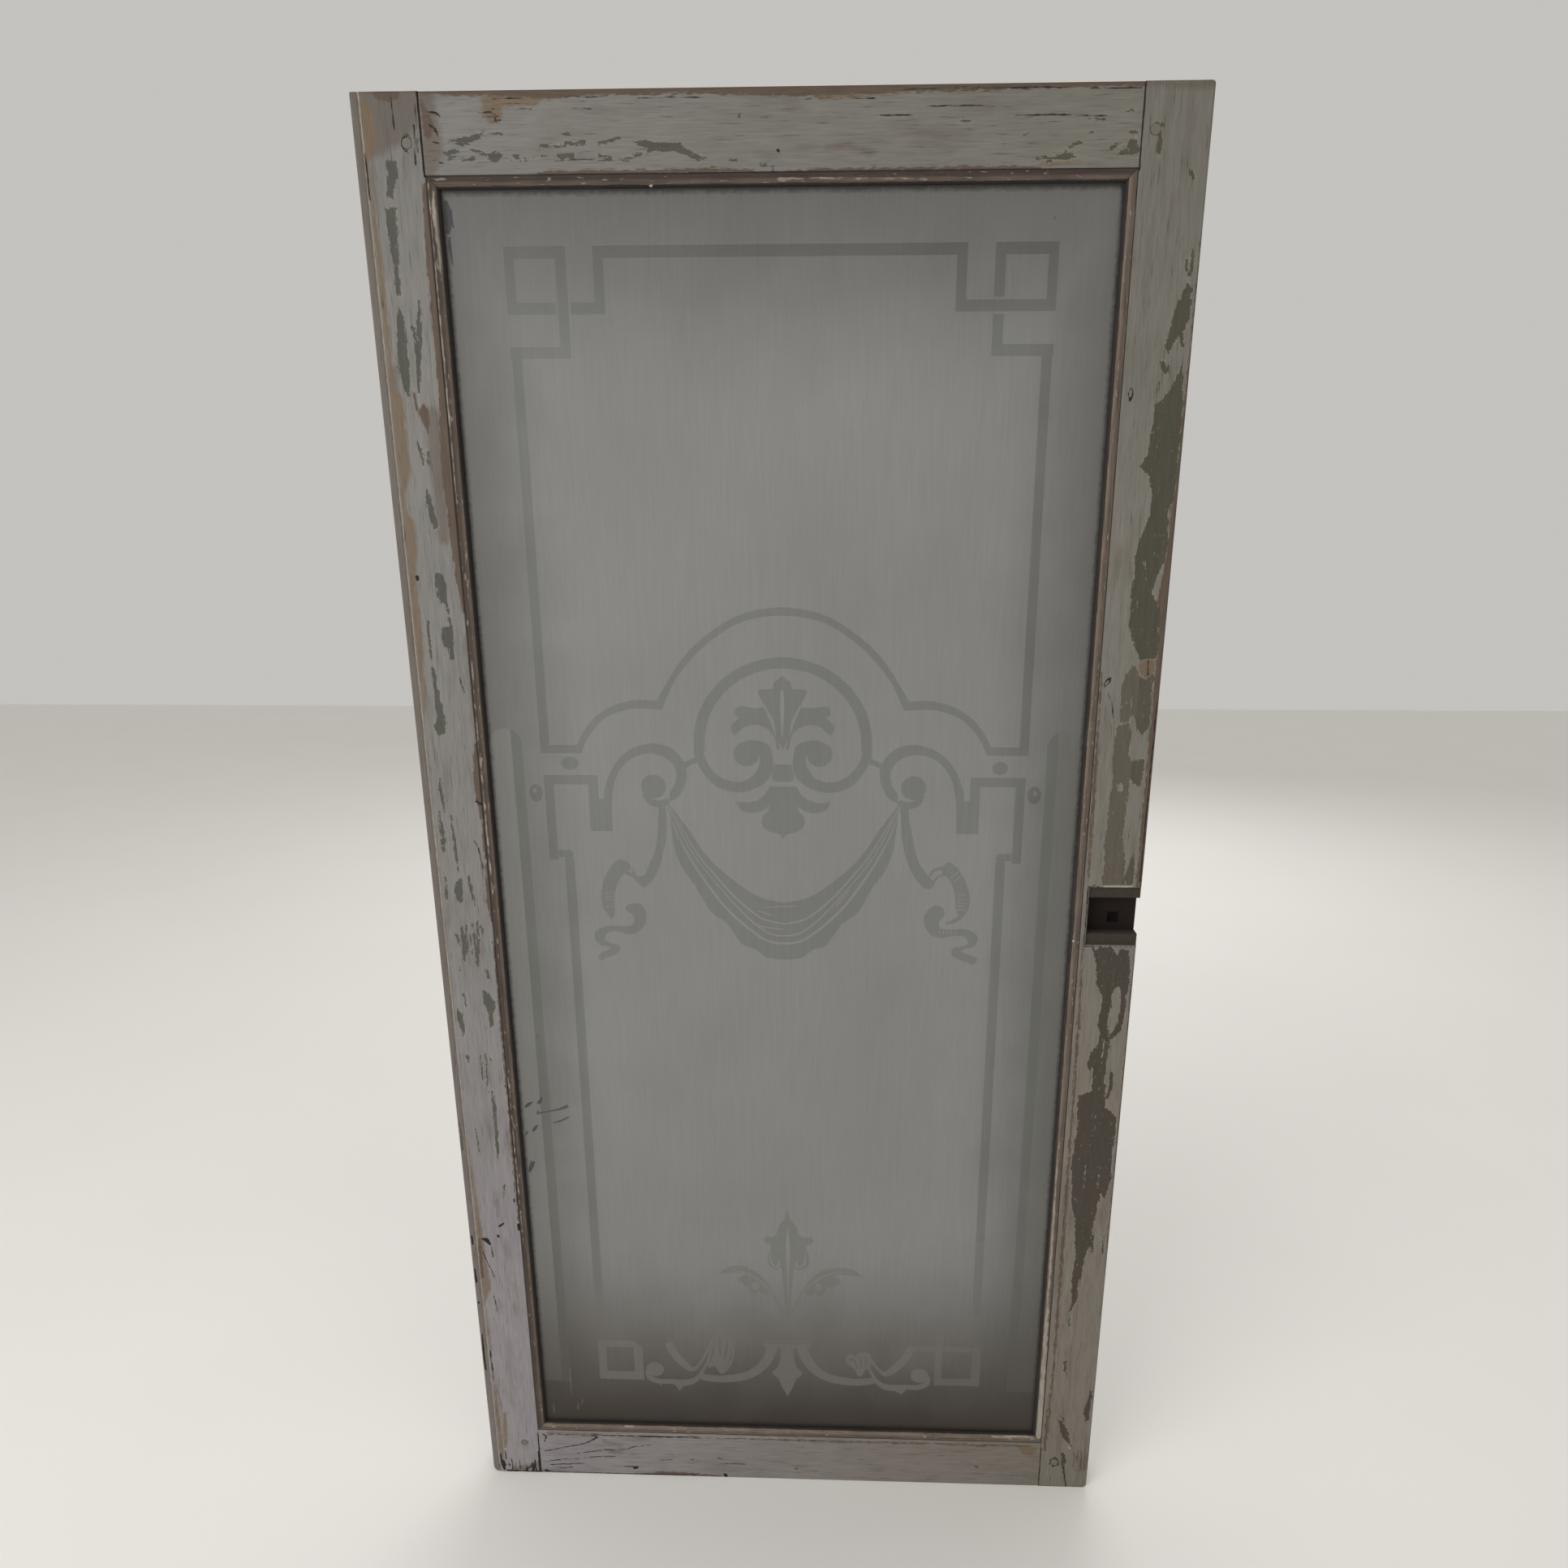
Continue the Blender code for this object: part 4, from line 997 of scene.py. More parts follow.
topRailMarks = {
    "flake": [
        [(69, 33), (80, 31), (90, 29), (97, 27), (94, 31), (86, 34), (80, 37), (76, 34)],
        [(66, 40), (76, 38), (78, 40), (72, 42), (67, 42)],
        [(70, 45, 0.4), (75, 43.5, 0.5)],
        [(78, 46, 0.6), (88, 44.5, 0.9)],
        [(86, 38, 0.5), (97, 42, 0.8)],
        [(98, 43), (104, 40), (110, 42), (108, 45), (104, 47), (100, 46)],
        [(112, 44, 0.7), (116, 45, 0.6)],
        [(117, 43), (122, 42.5), (122, 46.5), (118, 45)],
        [(126, 45.5, 0.7), (134, 43.5, 0.5), (145, 43, 0.2)],
        [(100, 28, 0.4), (110, 28.5, 0.5)],
        [(155, 29, 0.4), (160, 29, 0.5)],
        [(138, 36, 0.8), (145, 37, 0.7)],
        [(148, 37.3, 0.6), (156, 37, 0.6)],
        [(156, 35.5, 1.1), (170, 35.2, 1.2)],
        [(150, 43), (162, 42), (162, 46), (156, 47), (151, 45)],
        [(180, 35, 0.9), (188, 34, 0.9), (195, 32, 1.1)],
        [(181, 44, 1.0), (188, 46, 0.9)],
        [(196, 47, 1.0), (204, 45.5, 0.8), (211, 42.5, 0.9)],
        [
            (206, 35), (214, 34), (225, 36), (240, 36.5), (245, 41), (250, 43), (258, 46), (252, 47.5),
            (243, 44), (235, 41), (222, 40.5), (215, 43), (216, 38.5), (208, 36.5),
        ],
        [(276, 47, 0.6), (281, 47.5, 0.7)],
        [(298, 51.5, 0.5), (302, 51, 0.5)],
        [(306.5, 53, 0.5), (306.8, 55, 0.6)],
        [(283, 17.5, 0.4), (283, 19.5, 0.3)],
        [(497, 49, 0.5), (503, 48, 0.4)],
        [(504, 49), (515, 47), (519, 44.5), (521, 45), (526, 48), (518, 49.5), (510, 50), (505, 51.5)],
        [(517, 44, 0.4), (521, 41.5, 0.5), (525, 39, 0.6), (529, 38.5, 0.3)],
        [(555, 46.5), (561, 43), (563, 37), (567, 37), (569.5, 44), (568, 46.5)],
        [(549, 43, 0.9), (553, 41, 0.9), (556, 40, 0.5)],
        [(562.5, 33, 0.8), (567, 33, 0.8)],
        [(560, 19.5, 0.7), (563, 18.5, 0.7)],
        [(534, 32.5, 0.5), (536, 32, 0.4)],
        [(487, 33.5, 0.5), (490, 33, 0.6)],
        [(442, 23.5, 0.6), (448, 24.5, 0.5)],
        [(533, 24, 0.5), (543, 23.5, 0.6)],
    ],
    "keep": [[(154, 44.5, 0.8), (157, 44.8, 0.8)]],
    "bare": [
        [
            (51, 0.8, 1.0), (90, 1.2, 2.0), (140, 2, 4.0), (200, 1, 3.0), (260, 1, 3.4), (330, 2, 5.0),
            (400, 1.2, 4.0), (480, 1, 3.2), (570, 0.5, 2.4),
        ],
        [(52, 3), (58, 14), (60, 23), (57, 33), (53, 30)],
        [
            (135, 55.5, 0.8), (150, 54.6, 1.6), (200, 54.8, 1.4), (228, 54.6, 1.2), (262, 54, 1.8),
            (300, 55.8, 0.6),
        ],
        [(300, 56, 0.6), (350, 55, 1.2), (420, 55, 1.0), (445, 54.4, 1.5), (500, 55.5, 0.8)],
    ],
    "ochre": [
        [(95, 2), (112, 2), (140, 6), (138, 11), (112, 12), (109, 22), (101, 23), (97, 12)],
        [(60, 0.8, 1.5), (140, 3, 4.5), (180, 1.5, 2.5)],
        [(320, 2, 3.0), (345, 4, 6.0), (390, 3, 4.0), (420, 1, 2)],
        [(500, 53, 1.6), (528, 52, 1.4)],
    ],
    "stain": [
        [(50, -2), (62, -2), (66, 40), (58, 58), (50, 58)],
        [(345, 40, 1.0), (362, 39, 2.0), (378, 44, 2.0)],
        [(100, 15, 3.0), (108, 16, 3.0)],
    ],
    "crack": [
        [(310.5, 41.5, 0.8), (311.3, 42, 0.8)],
        [(383, 20, 0.15), (395, 19.5, 0.3), (408, 20, 0.15)],
        [(480, 21, 0.15), (505, 20.5, 0.3), (545, 22, 0.2)],
        [(160, 12.5, 0.15), (176, 13, 0.25)],
        [(52, 56.6, 0.5), (570, 57.2, 0.45)],
        [(400, 3.6, 0.1), (440, 2.6, 0.2), (500, 3.4, 0.25), (568, 4.6, 0.15)],
        [(105, 12, 0.2), (106, 20, 0.3)],
        [(98, 6.2, 0.1), (118, 5.6, 0.3), (142, 6.4, 0.1)],
        [(104, 9.4, 0.1), (122, 9.0, 0.25), (136, 9.6, 0.1)],
        [(112, 12.6, 0.1), (128, 12.2, 0.3), (133, 12.8, 0.1)],
        [(94, 14.6, 0.2), (104, 14.2, 0.3)],
        [(97, 17.4, 0.2), (109, 17.0, 0.3)],
        [(101, 20.4, 0.2), (110, 20.0, 0.2)],
        [(58, 13.6, 0.3), (63, 14.4, 0.5), (66, 17, 0.2)],
        [(57, 22, 0.3), (61, 24, 0.6), (63, 29, 0.3)],
        [(58, 33, 0.2), (64, 34.4, 0.4)],
        [(62, 47, 0.2), (66, 47.6, 0.3)],
        [(150, 4.6, 0.1), (176, 5.4, 0.25), (196, 4.4, 0.1)],
        [(210, 6.4, 0.1), (232, 6.0, 0.2), (258, 6.8, 0.1)],
        [(330, 8.4, 0.1), (352, 8.0, 0.25), (380, 8.8, 0.1)],
        [(148, 46.6, 0.1), (170, 46.2, 0.25), (196, 47, 0.1)],
        [(416, 14.4, 0.1), (440, 14.0, 0.2), (466, 14.8, 0.1)],
    ],
}
bottomRailMarks = {
    "flake": [
        [(318, 1285, 0.5), (320, 1286, 0.8)],
        [(504, 1275.5, 1.0), (507, 1277, 0.8)],
        [(206, 1278, 0.5), (212, 1277, 0.4)],
        [(238, 1274, 0.4), (243, 1275.5, 0.5)],
    ],
    "bare": [
        [
            (60, 1248, 0.8), (140, 1247, 0.9), (220, 1247, 0.8), (340, 1247.5, 0.9), (470, 1247, 0.8),
            (560, 1247, 0.8),
        ],
        [(498, 1247.5, 0.8), (508, 1248.5, 1.4), (516, 1247.5, 0.6)],
        [(150, 1299.5, 0.8), (180, 1297, 2.2), (212, 1297, 1.6), (240, 1299.5, 0.8)],
    ],
    "ochre": [
        [(88, 1247.5, 0.8), (108, 1249.5, 1.8)],
        [(546, 1248), (556, 1245.5), (568, 1248), (566, 1255), (560, 1261), (552, 1258)],
        [(150, 1299, 1.0), (180, 1296, 2.4), (212, 1296, 1.6)],
    ],
    "stain": [
        [(52, 1298, 2.0), (110, 1300, 1.5)],
        [(62, 1246, 1.5), (180, 1247, 1.0)],
        [(120, 1256, 2.0), (136, 1260, 2.0)],
        [(125, 1269, 2.4), (136, 1270, 2.4)],
    ],
    "crack": [
        [
            (105, 1247, 0.3), (113, 1250.5, 0.6), (108, 1254, 0.8), (100, 1259, 0.5), (80, 1264.5, 0.5),
            (56, 1271, 0.3),
        ],
        [
            (90, 1273, 0.2), (108, 1269.5, 0.4), (122, 1267, 0.5), (142, 1266, 0.4), (150, 1262, 0.4),
            (168, 1259, 0.15),
        ],
        [(98, 1279, 0.3), (112, 1276.5, 0.5), (131, 1275.5, 0.3)],
        [(60, 1284, 0.4), (76, 1281.5, 0.4), (92, 1280, 0.2)],
        [(62, 1289, 0.5), (98, 1286, 0.3)],
        [(66, 1294, 0.3), (85, 1292, 0.4)],
        [(139, 1289, 0.2), (150, 1289, 0.4)],
        [(150, 1291.5, 1.4), (153, 1289.5, 1.3)],
        [(240, 1281, 0.2), (266, 1281.5, 0.35)],
        [(175, 1279, 0.2), (190, 1278, 0.3)],
        [(245, 1296, 1.4), (246, 1299, 1.6)],
        [(56, 1248, 0.5), (59.5, 1251, 0.6), (57, 1258, 0.5)],
        [(52, 1299.6, 0.8), (112, 1299.4, 0.5), (215, 1298.4, 0.4)],
        [(120, 1247.6, 0.3), (180, 1247.6, 0.5), (215, 1247, 0.3)],
        [(56, 1297, 1.0), (60, 1300, 1.5)],
    ],
    "light": [[(118, 1245.8, 0.4), (205, 1245.2, 0.4)], [(220, 1246.6, 0.3), (300, 1245, 0.3)]],
}


# How far each place lies inside a mark, in millimetres of the board; outside it is negative
def reachOfMark(mark, across, down):
    xs, ys = np.array([p[0] for p in mark], float), np.array([p[1] for p in mark], float)
    stroke = len(mark[0]) == 3
    ends = range(len(mark) - 1) if stroke else range(len(mark))
    best = np.full(len(across), -1e9)
    inside = np.zeros(len(across), bool)
    for i in ends:
        j = (i + 1) % len(mark)
        dx, dy = xs[j] - xs[i], ys[j] - ys[i]
        t = np.clip(((across - xs[i]) * dx + (down - ys[i]) * dy) / max(dx * dx + dy * dy, 1e-9), 0, 1)
        gap = np.hypot(across - xs[i] - t * dx, down - ys[i] - t * dy)
        if stroke:
            best = np.maximum(best, mark[i][2] + (mark[j][2] - mark[i][2]) * t - gap)
        else:
            best = np.maximum(best, -gap)
            if dy:
                crossed = (ys[i] > down) != (ys[j] > down)
                inside ^= crossed & (across < dx * (down - ys[i]) / dy + xs[i])
    return np.where(inside, -best, best) if not stroke else best


def fieldOf(marks, across, down, limit=4.0):
    field = np.full(len(across), -limit)
    for mark in marks:
        grow = limit + max([p[2] for p in mark if len(p) == 3] or [0])
        xs, ys = [p[0] for p in mark], [p[1] for p in mark]
        near = (across > min(xs) - grow) & (across < max(xs) + grow)
        near &= (down > min(ys) - grow) & (down < max(ys) + grow)
        if near.any():
            field[near] = np.maximum(field[near], reachOfMark(mark, across[near], down[near]))
    return np.clip(field, -limit, limit)


def sliceFaces(bm, faces, axis, places):
    normal = Vector((0, 0, 0))
    normal[axis] = 1
    rest = faces
    for place in places:
        point = Vector((0, 0, 0))
        point[axis] = place
        around = set(rest)
        for face in rest:
            around.update(face.edges)
            around.update(face.verts)
        made = bmesh.ops.bisect_plane(
            bm, geom=list(around), dist=1e-6, plane_co=point, plane_no=normal
        )["geom"]
        faces = [part for part in made if isinstance(part, bmesh.types.BMFace)]
        rest = [face for face in faces if max(v.co[axis] for v in face.verts) > place + 1e-6]
        if not rest:
            break


def dressedCopy(nodeName, pieceName, axis, step, crossStep):
    bm = bmesh.new()
    bm.from_mesh(nodes[nodeName].data)
    bmesh.ops.remove_doubles(bm, verts=bm.verts[:], dist=2e-6)
    bmesh.ops.dissolve_limit(bm, angle_limit=0.01, verts=bm.verts[:], edges=bm.edges[:])
    low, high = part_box(nodeName)
    cuts = max(2, round((high[axis] - low[axis]) / step))
    sliceFaces(
        bm, bm.faces[:], axis, [low[axis] + (high[axis] - low[axis]) * i / cuts for i in range(1, cuts)]
    )
    bm.normal_update()
    cross = 2 - axis
    fronts = [f for f in bm.faces if f.normal.y < -0.5]
    cuts = max(2, round((high[cross] - low[cross]) / crossStep))
    sliceFaces(
        bm, fronts, cross, [low[cross] + (high[cross] - low[cross]) * i / cuts for i in range(1, cuts)]
    )
    mesh = bpy.data.meshes.new(pieceName)
    bm.to_mesh(mesh)
    bm.free()
    return newPiece(pieceName, mesh)


def placesOf(mesh):
    places = np.empty(len(mesh.vertices) * 3)
    mesh.vertices.foreach_get("co", places)
    places = places.reshape(-1, 3)
    return places, (places[:, 0] - cadLow.x) / boardX, (cadHigh.z - places[:, 2]) / boardZ


def keepField(mesh, name, values):
    mesh.attributes.new(name, "FLOAT", "POINT").data.foreach_set(
        "value", np.ascontiguousarray(values, np.float32)
    )


def wearField(piece, marks, tone, paintedLightShade):
    mesh = piece.data
    places, across, down = placesOf(mesh)
    front = places[:, 1] < cadLow.y + 0.0022
    kinds = ("flake", "bare", "ochre", "stain", "crack", "light")
    fields = {kind: fieldOf(marks.get(kind, []), across, down) for kind in kinds}
    if "keep" in marks:
        fields["flake"] = np.minimum(fields["flake"], -fieldOf(marks["keep"], across, down))
    for kind, values in fields.items():
        values[~front] = -1.15 if kind == "flake" else -4.0
        keepField(mesh, kind, values)
    keepField(mesh, "tone", np.array([tone(x, y) for x, y in zip(across, down)]) / 3)
    # painted light and shade: how light or dark the top coat is painted at each place
    keepField(mesh, "paintedLightShade", np.array([paintedLightShade(x, y) for x, y in zip(across, down)]))
    # the paint film is a quarter millimetre thick, and the face is hand planed, never quite flat
    sunk = 0.00025 * np.clip(fields["flake"] * 2, 0, 1) + 0.0004 * np.clip(fields["crack"] * 2, 0, 1)
    wave = 0.0001 * (1 + np.sin(across * 0.21 + down * 0.013) * np.sin(down * 0.031 + 1.3))
    # rounded arrises and quirks lie deeper than this and keep their shape
    level = places[:, 1] < cadLow.y + 0.0006
    places[:, 1] += np.where(level, sunk + wave, 0)
    mesh.vertices.foreach_set("co", places.ravel())
    mesh.polygons.foreach_set("use_smooth", [True] * len(mesh.polygons))
    mesh.set_sharp_from_angle(angle=math.radians(35))
    mesh.update()


# Pine under two coats: a chalky grey top coat, cooler on the left, warmer on the right and another
# tone towards the floor, thin enough for the grain to show; an older coat, grey to olive to brown,
# where it has flaked; bare brown wood where hands and the jamb have rubbed it
paintSettings = {
    "topCoat": ("#777571", "#747169"),
    "lowCoat": ("#787475", "#766f66"),
    "lip": ("#8e887d",),
    "oldCoat": ("#53534c", "#4a473c", "#5b554b", "#453f37"),
    "bareWood": ("#46392f", "#64564a"),
    "ochreWood": ("#5e4e3b", "#76634d"),
    "dirt": ("#574b40",),
    "crack": ("#1c1613",),
    # pale colour of the light marks: painted highlights on lit arrises, and pale lines by the bottom bead
    "edge": ("#a3998a",),
    # ledge and pocket of the lock housing: dark raw wood and dirt, with painted shade deepening into the
    # recess
    "shadedLedge": ("#28221d", "#3f362f"),
    "shadedPocket": ("#0b0606", "#20140f"),
}


def paintedPine(name, grain):
    colours = {key: [srgb(c) for c in value] for key, value in paintSettings.items()}
    material, tree, shader = newMaterial(name)
    place = addNode(tree, "ShaderNodeTexCoord").outputs["Object"]
    axes = addNode(tree, "ShaderNodeSeparateXYZ", {0: place}).outputs
    marks = {
        kind: addNode(tree, "ShaderNodeAttribute", attribute_name=kind).outputs["Fac"]
        for kind in ("flake", "bare", "ochre", "stain", "crack", "light", "tone", "paintedLightShade", "housing")
    }
    # grain lines 1.2 mm apart and 20 mm long, torn edges 1.6 mm by 6 mm, streaks 4 mm by 50 mm
    noises = {}
    for key, fine, long, detail in (
        ("grain", 820, 45, 4),
        ("ragged", 620, 150, 4),
        ("streak", 240, 20, 3),
        ("scuff", 75, 16, 4),
        ("chip", 1250, 420, 2),
        ("mottle", 21, 17, 3),
        ("island", 480, 230, 3),
    ):
        stretch = [fine, fine, fine]
        stretch[grain] = long
        at = addNode(tree, "ShaderNodeMapping", {"Vector": place, "Scale": stretch})
        made = addNode(
            tree, "ShaderNodeTexNoise", {"Vector": at.outputs[0], "Scale": 1.0, "Detail": detail}
        )
        noises[key] = made.outputs[0]

    # what each noise or place is turned into, and between which values
    spans = {}
    for key, value, low, high, least, most in (
        ("crumbs", noises["island"], 0.675, 0.71, 1, 0.3),
        ("rimBreak", noises["streak"], 0.4, 0.58, 0, 0.6),
        ("scuff", noises["scuff"], 0.56, 0.74, 0, 0.4),
        ("line", noises["grain"], 0.36, 0.27, 0, 0.5),
        ("grainShade", noises["grain"], 0.3, 0.7, 0.88, 1.09),
        ("streakShade", noises["streak"], 0.3, 0.7, 0.95, 1.05),
        ("mottleShade", noises["mottle"], 0.3, 0.7, 0.95, 1.05),
        ("height", axes[2], 0.35, 0.95, 0, 1),
        ("aside", axes[0], -0.3, 0.3, 0, 1),
        ("inShadedLedge", marks["housing"], 0, 0.5, 0, 1),
        ("inShadedPocket", marks["housing"], 0.5, 1, 0, 1),
    ):
        made = addNode(
            tree,
            "ShaderNodeMapRange",
            {"Value": value, "From Min": low, "From Max": high, "To Min": least, "To Max": most},
        )
        spans[key] = made.outputs[0]

    # each mark's edge wanders with the torn noise before it is turned into a mask
    shift = addNode(tree, "ShaderNodeMath", {0: noises["ragged"], 1: 0.5}, operation="SUBTRACT").outputs[0]
    chipShift = addNode(
        tree, "ShaderNodeMath", {0: noises["chip"], 1: 0.44}, operation="SUBTRACT"
    ).outputs[0]
    masks = {"scuff": spans["scuff"], "line": spans["line"]}
    for kind, wander, low, high, most in (
        ("flake", 5.5, -0.2, 0.2, 1),
        ("bare", 6, -0.6, 0.5, 1),
        ("ochre", 5, -0.8, 1.6, 0.8),
        ("stain", 6, -2.5, 2.5, 0.6),
        ("crack", 1.6, -0.4, 0.1, 1),
        ("light", 1.6, -0.4, 0.3, 1),
    ):
        reach = addNode(
            tree, "ShaderNodeMath", {0: shift, 1: wander, 2: marks[kind]}, operation="MULTIPLY_ADD"
        ).outputs[0]
        if kind == "flake":
            reach = addNode(
                tree, "ShaderNodeMath", {0: chipShift, 1: 3.0, 2: reach}, operation="MULTIPLY_ADD"
            ).outputs[0]
            rim = addNode(tree, "ShaderNodeMapRange", {"Value": reach, "From Min": -0.9, "From Max": -0.25})
        mask = addNode(
            tree, "ShaderNodeMapRange", {"Value": reach, "From Min": low, "From Max": high, "To Max": most}
        )
        masks[kind] = mask.outputs[0]
    # crumbs of the top coat hold on inside the flakes, and the torn rim is pale in places
    for key, first, second in (
        ("flake", masks["flake"], spans["crumbs"]),
        ("lip", rim.outputs[0], spans["rimBreak"]),
    ):
        masks[key] = addNode(tree, "ShaderNodeMath", {0: first, 1: second}, operation="MULTIPLY").outputs[0]

    blends = {}
    for key, factor in (
        ("topCoat", spans["aside"]),
        ("lowCoat", spans["aside"]),
        ("ochreWood", noises["grain"]),
        ("bareWood", noises["grain"]),
        ("shadedLedge", noises["ragged"]),
        ("shadedPocket", noises["ragged"]),
    ):
        mix = addNode(
            tree, "ShaderNodeMix", {0: factor, 6: colours[key][0], 7: colours[key][1]}, data_type="RGBA"
        )
        blends[key] = mix.outputs[2]
    coat = addNode(
        tree,
        "ShaderNodeMix",
        {0: spans["height"], 6: blends["lowCoat"], 7: blends["topCoat"]},
        data_type="RGBA",
    ).outputs[2]
    oldRamp = addNode(tree, "ShaderNodeValToRGB", {0: marks["tone"]})
    stops = oldRamp.color_ramp.elements
    stops.new(1 / 3)
    stops.new(2 / 3)
    for stop, colour in zip(stops, colours["oldCoat"]):
        stop.color = colour
    old = oldRamp.outputs[0]
    # grain and streaks shade both coats, clouds and the piece's painted light and shade only the top one
    for shade in ("grainShade", "streakShade"):
        scaled = addNode(tree, "ShaderNodeVectorMath", {0: coat, "Scale": spans[shade]}, operation="SCALE")
        coat = scaled.outputs[0]
        scaled = addNode(tree, "ShaderNodeVectorMath", {0: old, "Scale": spans[shade]}, operation="SCALE")
        old = scaled.outputs[0]
    for shade in (spans["mottleShade"], marks["paintedLightShade"]):
        scaled = addNode(tree, "ShaderNodeVectorMath", {0: coat, "Scale": shade}, operation="SCALE")
        coat = scaled.outputs[0]
    layer = coat
    for factor, over in (
        (masks["scuff"], colours["dirt"][0]),
        (masks["stain"], colours["dirt"][0]),
        (masks["ochre"], blends["ochreWood"]),
        (masks["lip"], colours["lip"][0]),
        (masks["line"], colours["crack"][0]),
        (masks["bare"], blends["bareWood"]),
        (masks["flake"], old),
        # painted highlights on lit arrises, and pale lines
        (masks["light"], colours["edge"][0]),
        # painted shade with dirt in the lock housing's recess, darkest in the pocket
        (spans["inShadedLedge"], blends["shadedLedge"]),
        (spans["inShadedPocket"], blends["shadedPocket"]),
        (masks["crack"], colours["crack"][0]),
    ):
        layer = addNode(tree, "ShaderNodeMix", {0: factor, 6: layer, 7: over}, data_type="RGBA").outputs[2]
    tree.links.new(layer, shader.inputs["Base Color"])

    # relief: the film stands over the flakes, the grain shows through and the cracks are open
    relief = 0.3
    for value, rise in ((masks["flake"], -0.3), (noises["grain"], 0.3), (masks["crack"], -0.8)):
        raised = addNode(tree, "ShaderNodeMath", {0: value, 1: rise, 2: relief}, operation="MULTIPLY_ADD")
        relief = raised.outputs[0]
    bump = addNode(tree, "ShaderNodeBump", {"Height": relief, "Strength": 0.8, "Distance": 0.001})
    tree.links.new(bump.outputs[0], shader.inputs["Normal"])
    # the old coat and the raw pocket are duller than the top coat
    dull = addNode(tree, "ShaderNodeMath", {0: masks["flake"], 1: spans["inShadedPocket"]}, operation="MAXIMUM")
    wornRough = addNode(
        tree, "ShaderNodeMapRange", {"Value": dull.outputs[0], "To Min": 0.6, "To Max": 0.85}
    )
    shader.inputs["Specular IOR Level"].default_value = 0.25
    tree.links.new(wornRough.outputs[0], shader.inputs["Roughness"])
    return material


stilePaint = paintedPine("flaked paint on pine stile", 2)
railPaint = paintedPine("flaked paint on pine rail", 0)


# Which old coat shows in the flakes, 0 to 3 along oldCoat, and the top coat's painted light and shade:
# a brightness factor, lighter on the left and towards the floor, darker on the right and at the top
def rightTone(x, y):
    if y < 120:
        return 1.2
    if y < 424:
        return 1.0
    if y < 620:
        return 1.9 if x < 603 else 1.4
    return 3.0


def leftPaintedLightShade(x, y):
    return float(np.interp(y, (0, 150, 300, 560, 900, 1250), (0.86, 1.06, 1.02, 1.03, 1.12, 1.3)))


def rightPaintedLightShade(x, y):
    return float(np.interp(y, (0, 200, 350, 560, 900, 1250), (0.86, 0.89, 0.98, 0.93, 0.96, 0.91)))


# Per piece: the new piece, grain axis, marks, paint, old coat tone, and the top coat's painted light and
# shade
woodPieces = {
    "left_stile": ("leftStile", 2, leftStileMarks, stilePaint, lambda x, y: 0.1, leftPaintedLightShade),
    "right_stile": ("rightStile", 2, rightStileMarks, stilePaint, rightTone, rightPaintedLightShade),
    "top_rail": (
        "topRail",
        0,
        topRailMarks,
        railPaint,
        lambda x, y: 0.3 if x < 350 else 1.3,
        lambda x, y: 0.98 - 0.0001 * x,
    ),
    "bottom_rail": (
        "bottomRail", 0, bottomRailMarks, railPaint, lambda x, y: 0.5, lambda x, y: 1.24 - 0.0006 * x,
    ),
}
# The lock housing's place in metres, and how deep its ledge and its raw pocket begin; both are
# painted darker the deeper they lie, dirt with painted shade
housing = {"x": (0.3125, 0.3676), "z": (0.709, 0.779), "shadedLedge": 0.0007, "shadedPocket": 0.0045}
woodSteps = (0.0016, 0.00125)
for nodeName, (pieceName, axis, marks, paint, tone, paintedLightShade) in woodPieces.items():
    piece = dressedCopy(nodeName, pieceName, axis, *woodSteps)
    places, _, _ = placesOf(piece.data)
    inHousing = (
        (places[:, 0] > housing["x"][0])
        & (places[:, 2] > housing["z"][0])
        & (places[:, 2] < housing["z"][1])
        & (places[:, 1] < cadHigh.y - 0.004)
    )
    # depth into the recess, which sets its painted shade
    depth = places[:, 1] - cadLow.y
    hidden = (
        0.5 * (inHousing & (depth > housing["shadedLedge"]))
        + 0.5 * (inHousing & (depth > housing["shadedPocket"]))
    )
    wearField(piece, marks, tone, paintedLightShade)
    keepField(piece.data, "housing", hidden)
    piece.data.materials.append(paint)
    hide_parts(nodeName)
    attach(piece, "root")
    print("stage 5:", pieceName, len(piece.data.polygons), "faces")

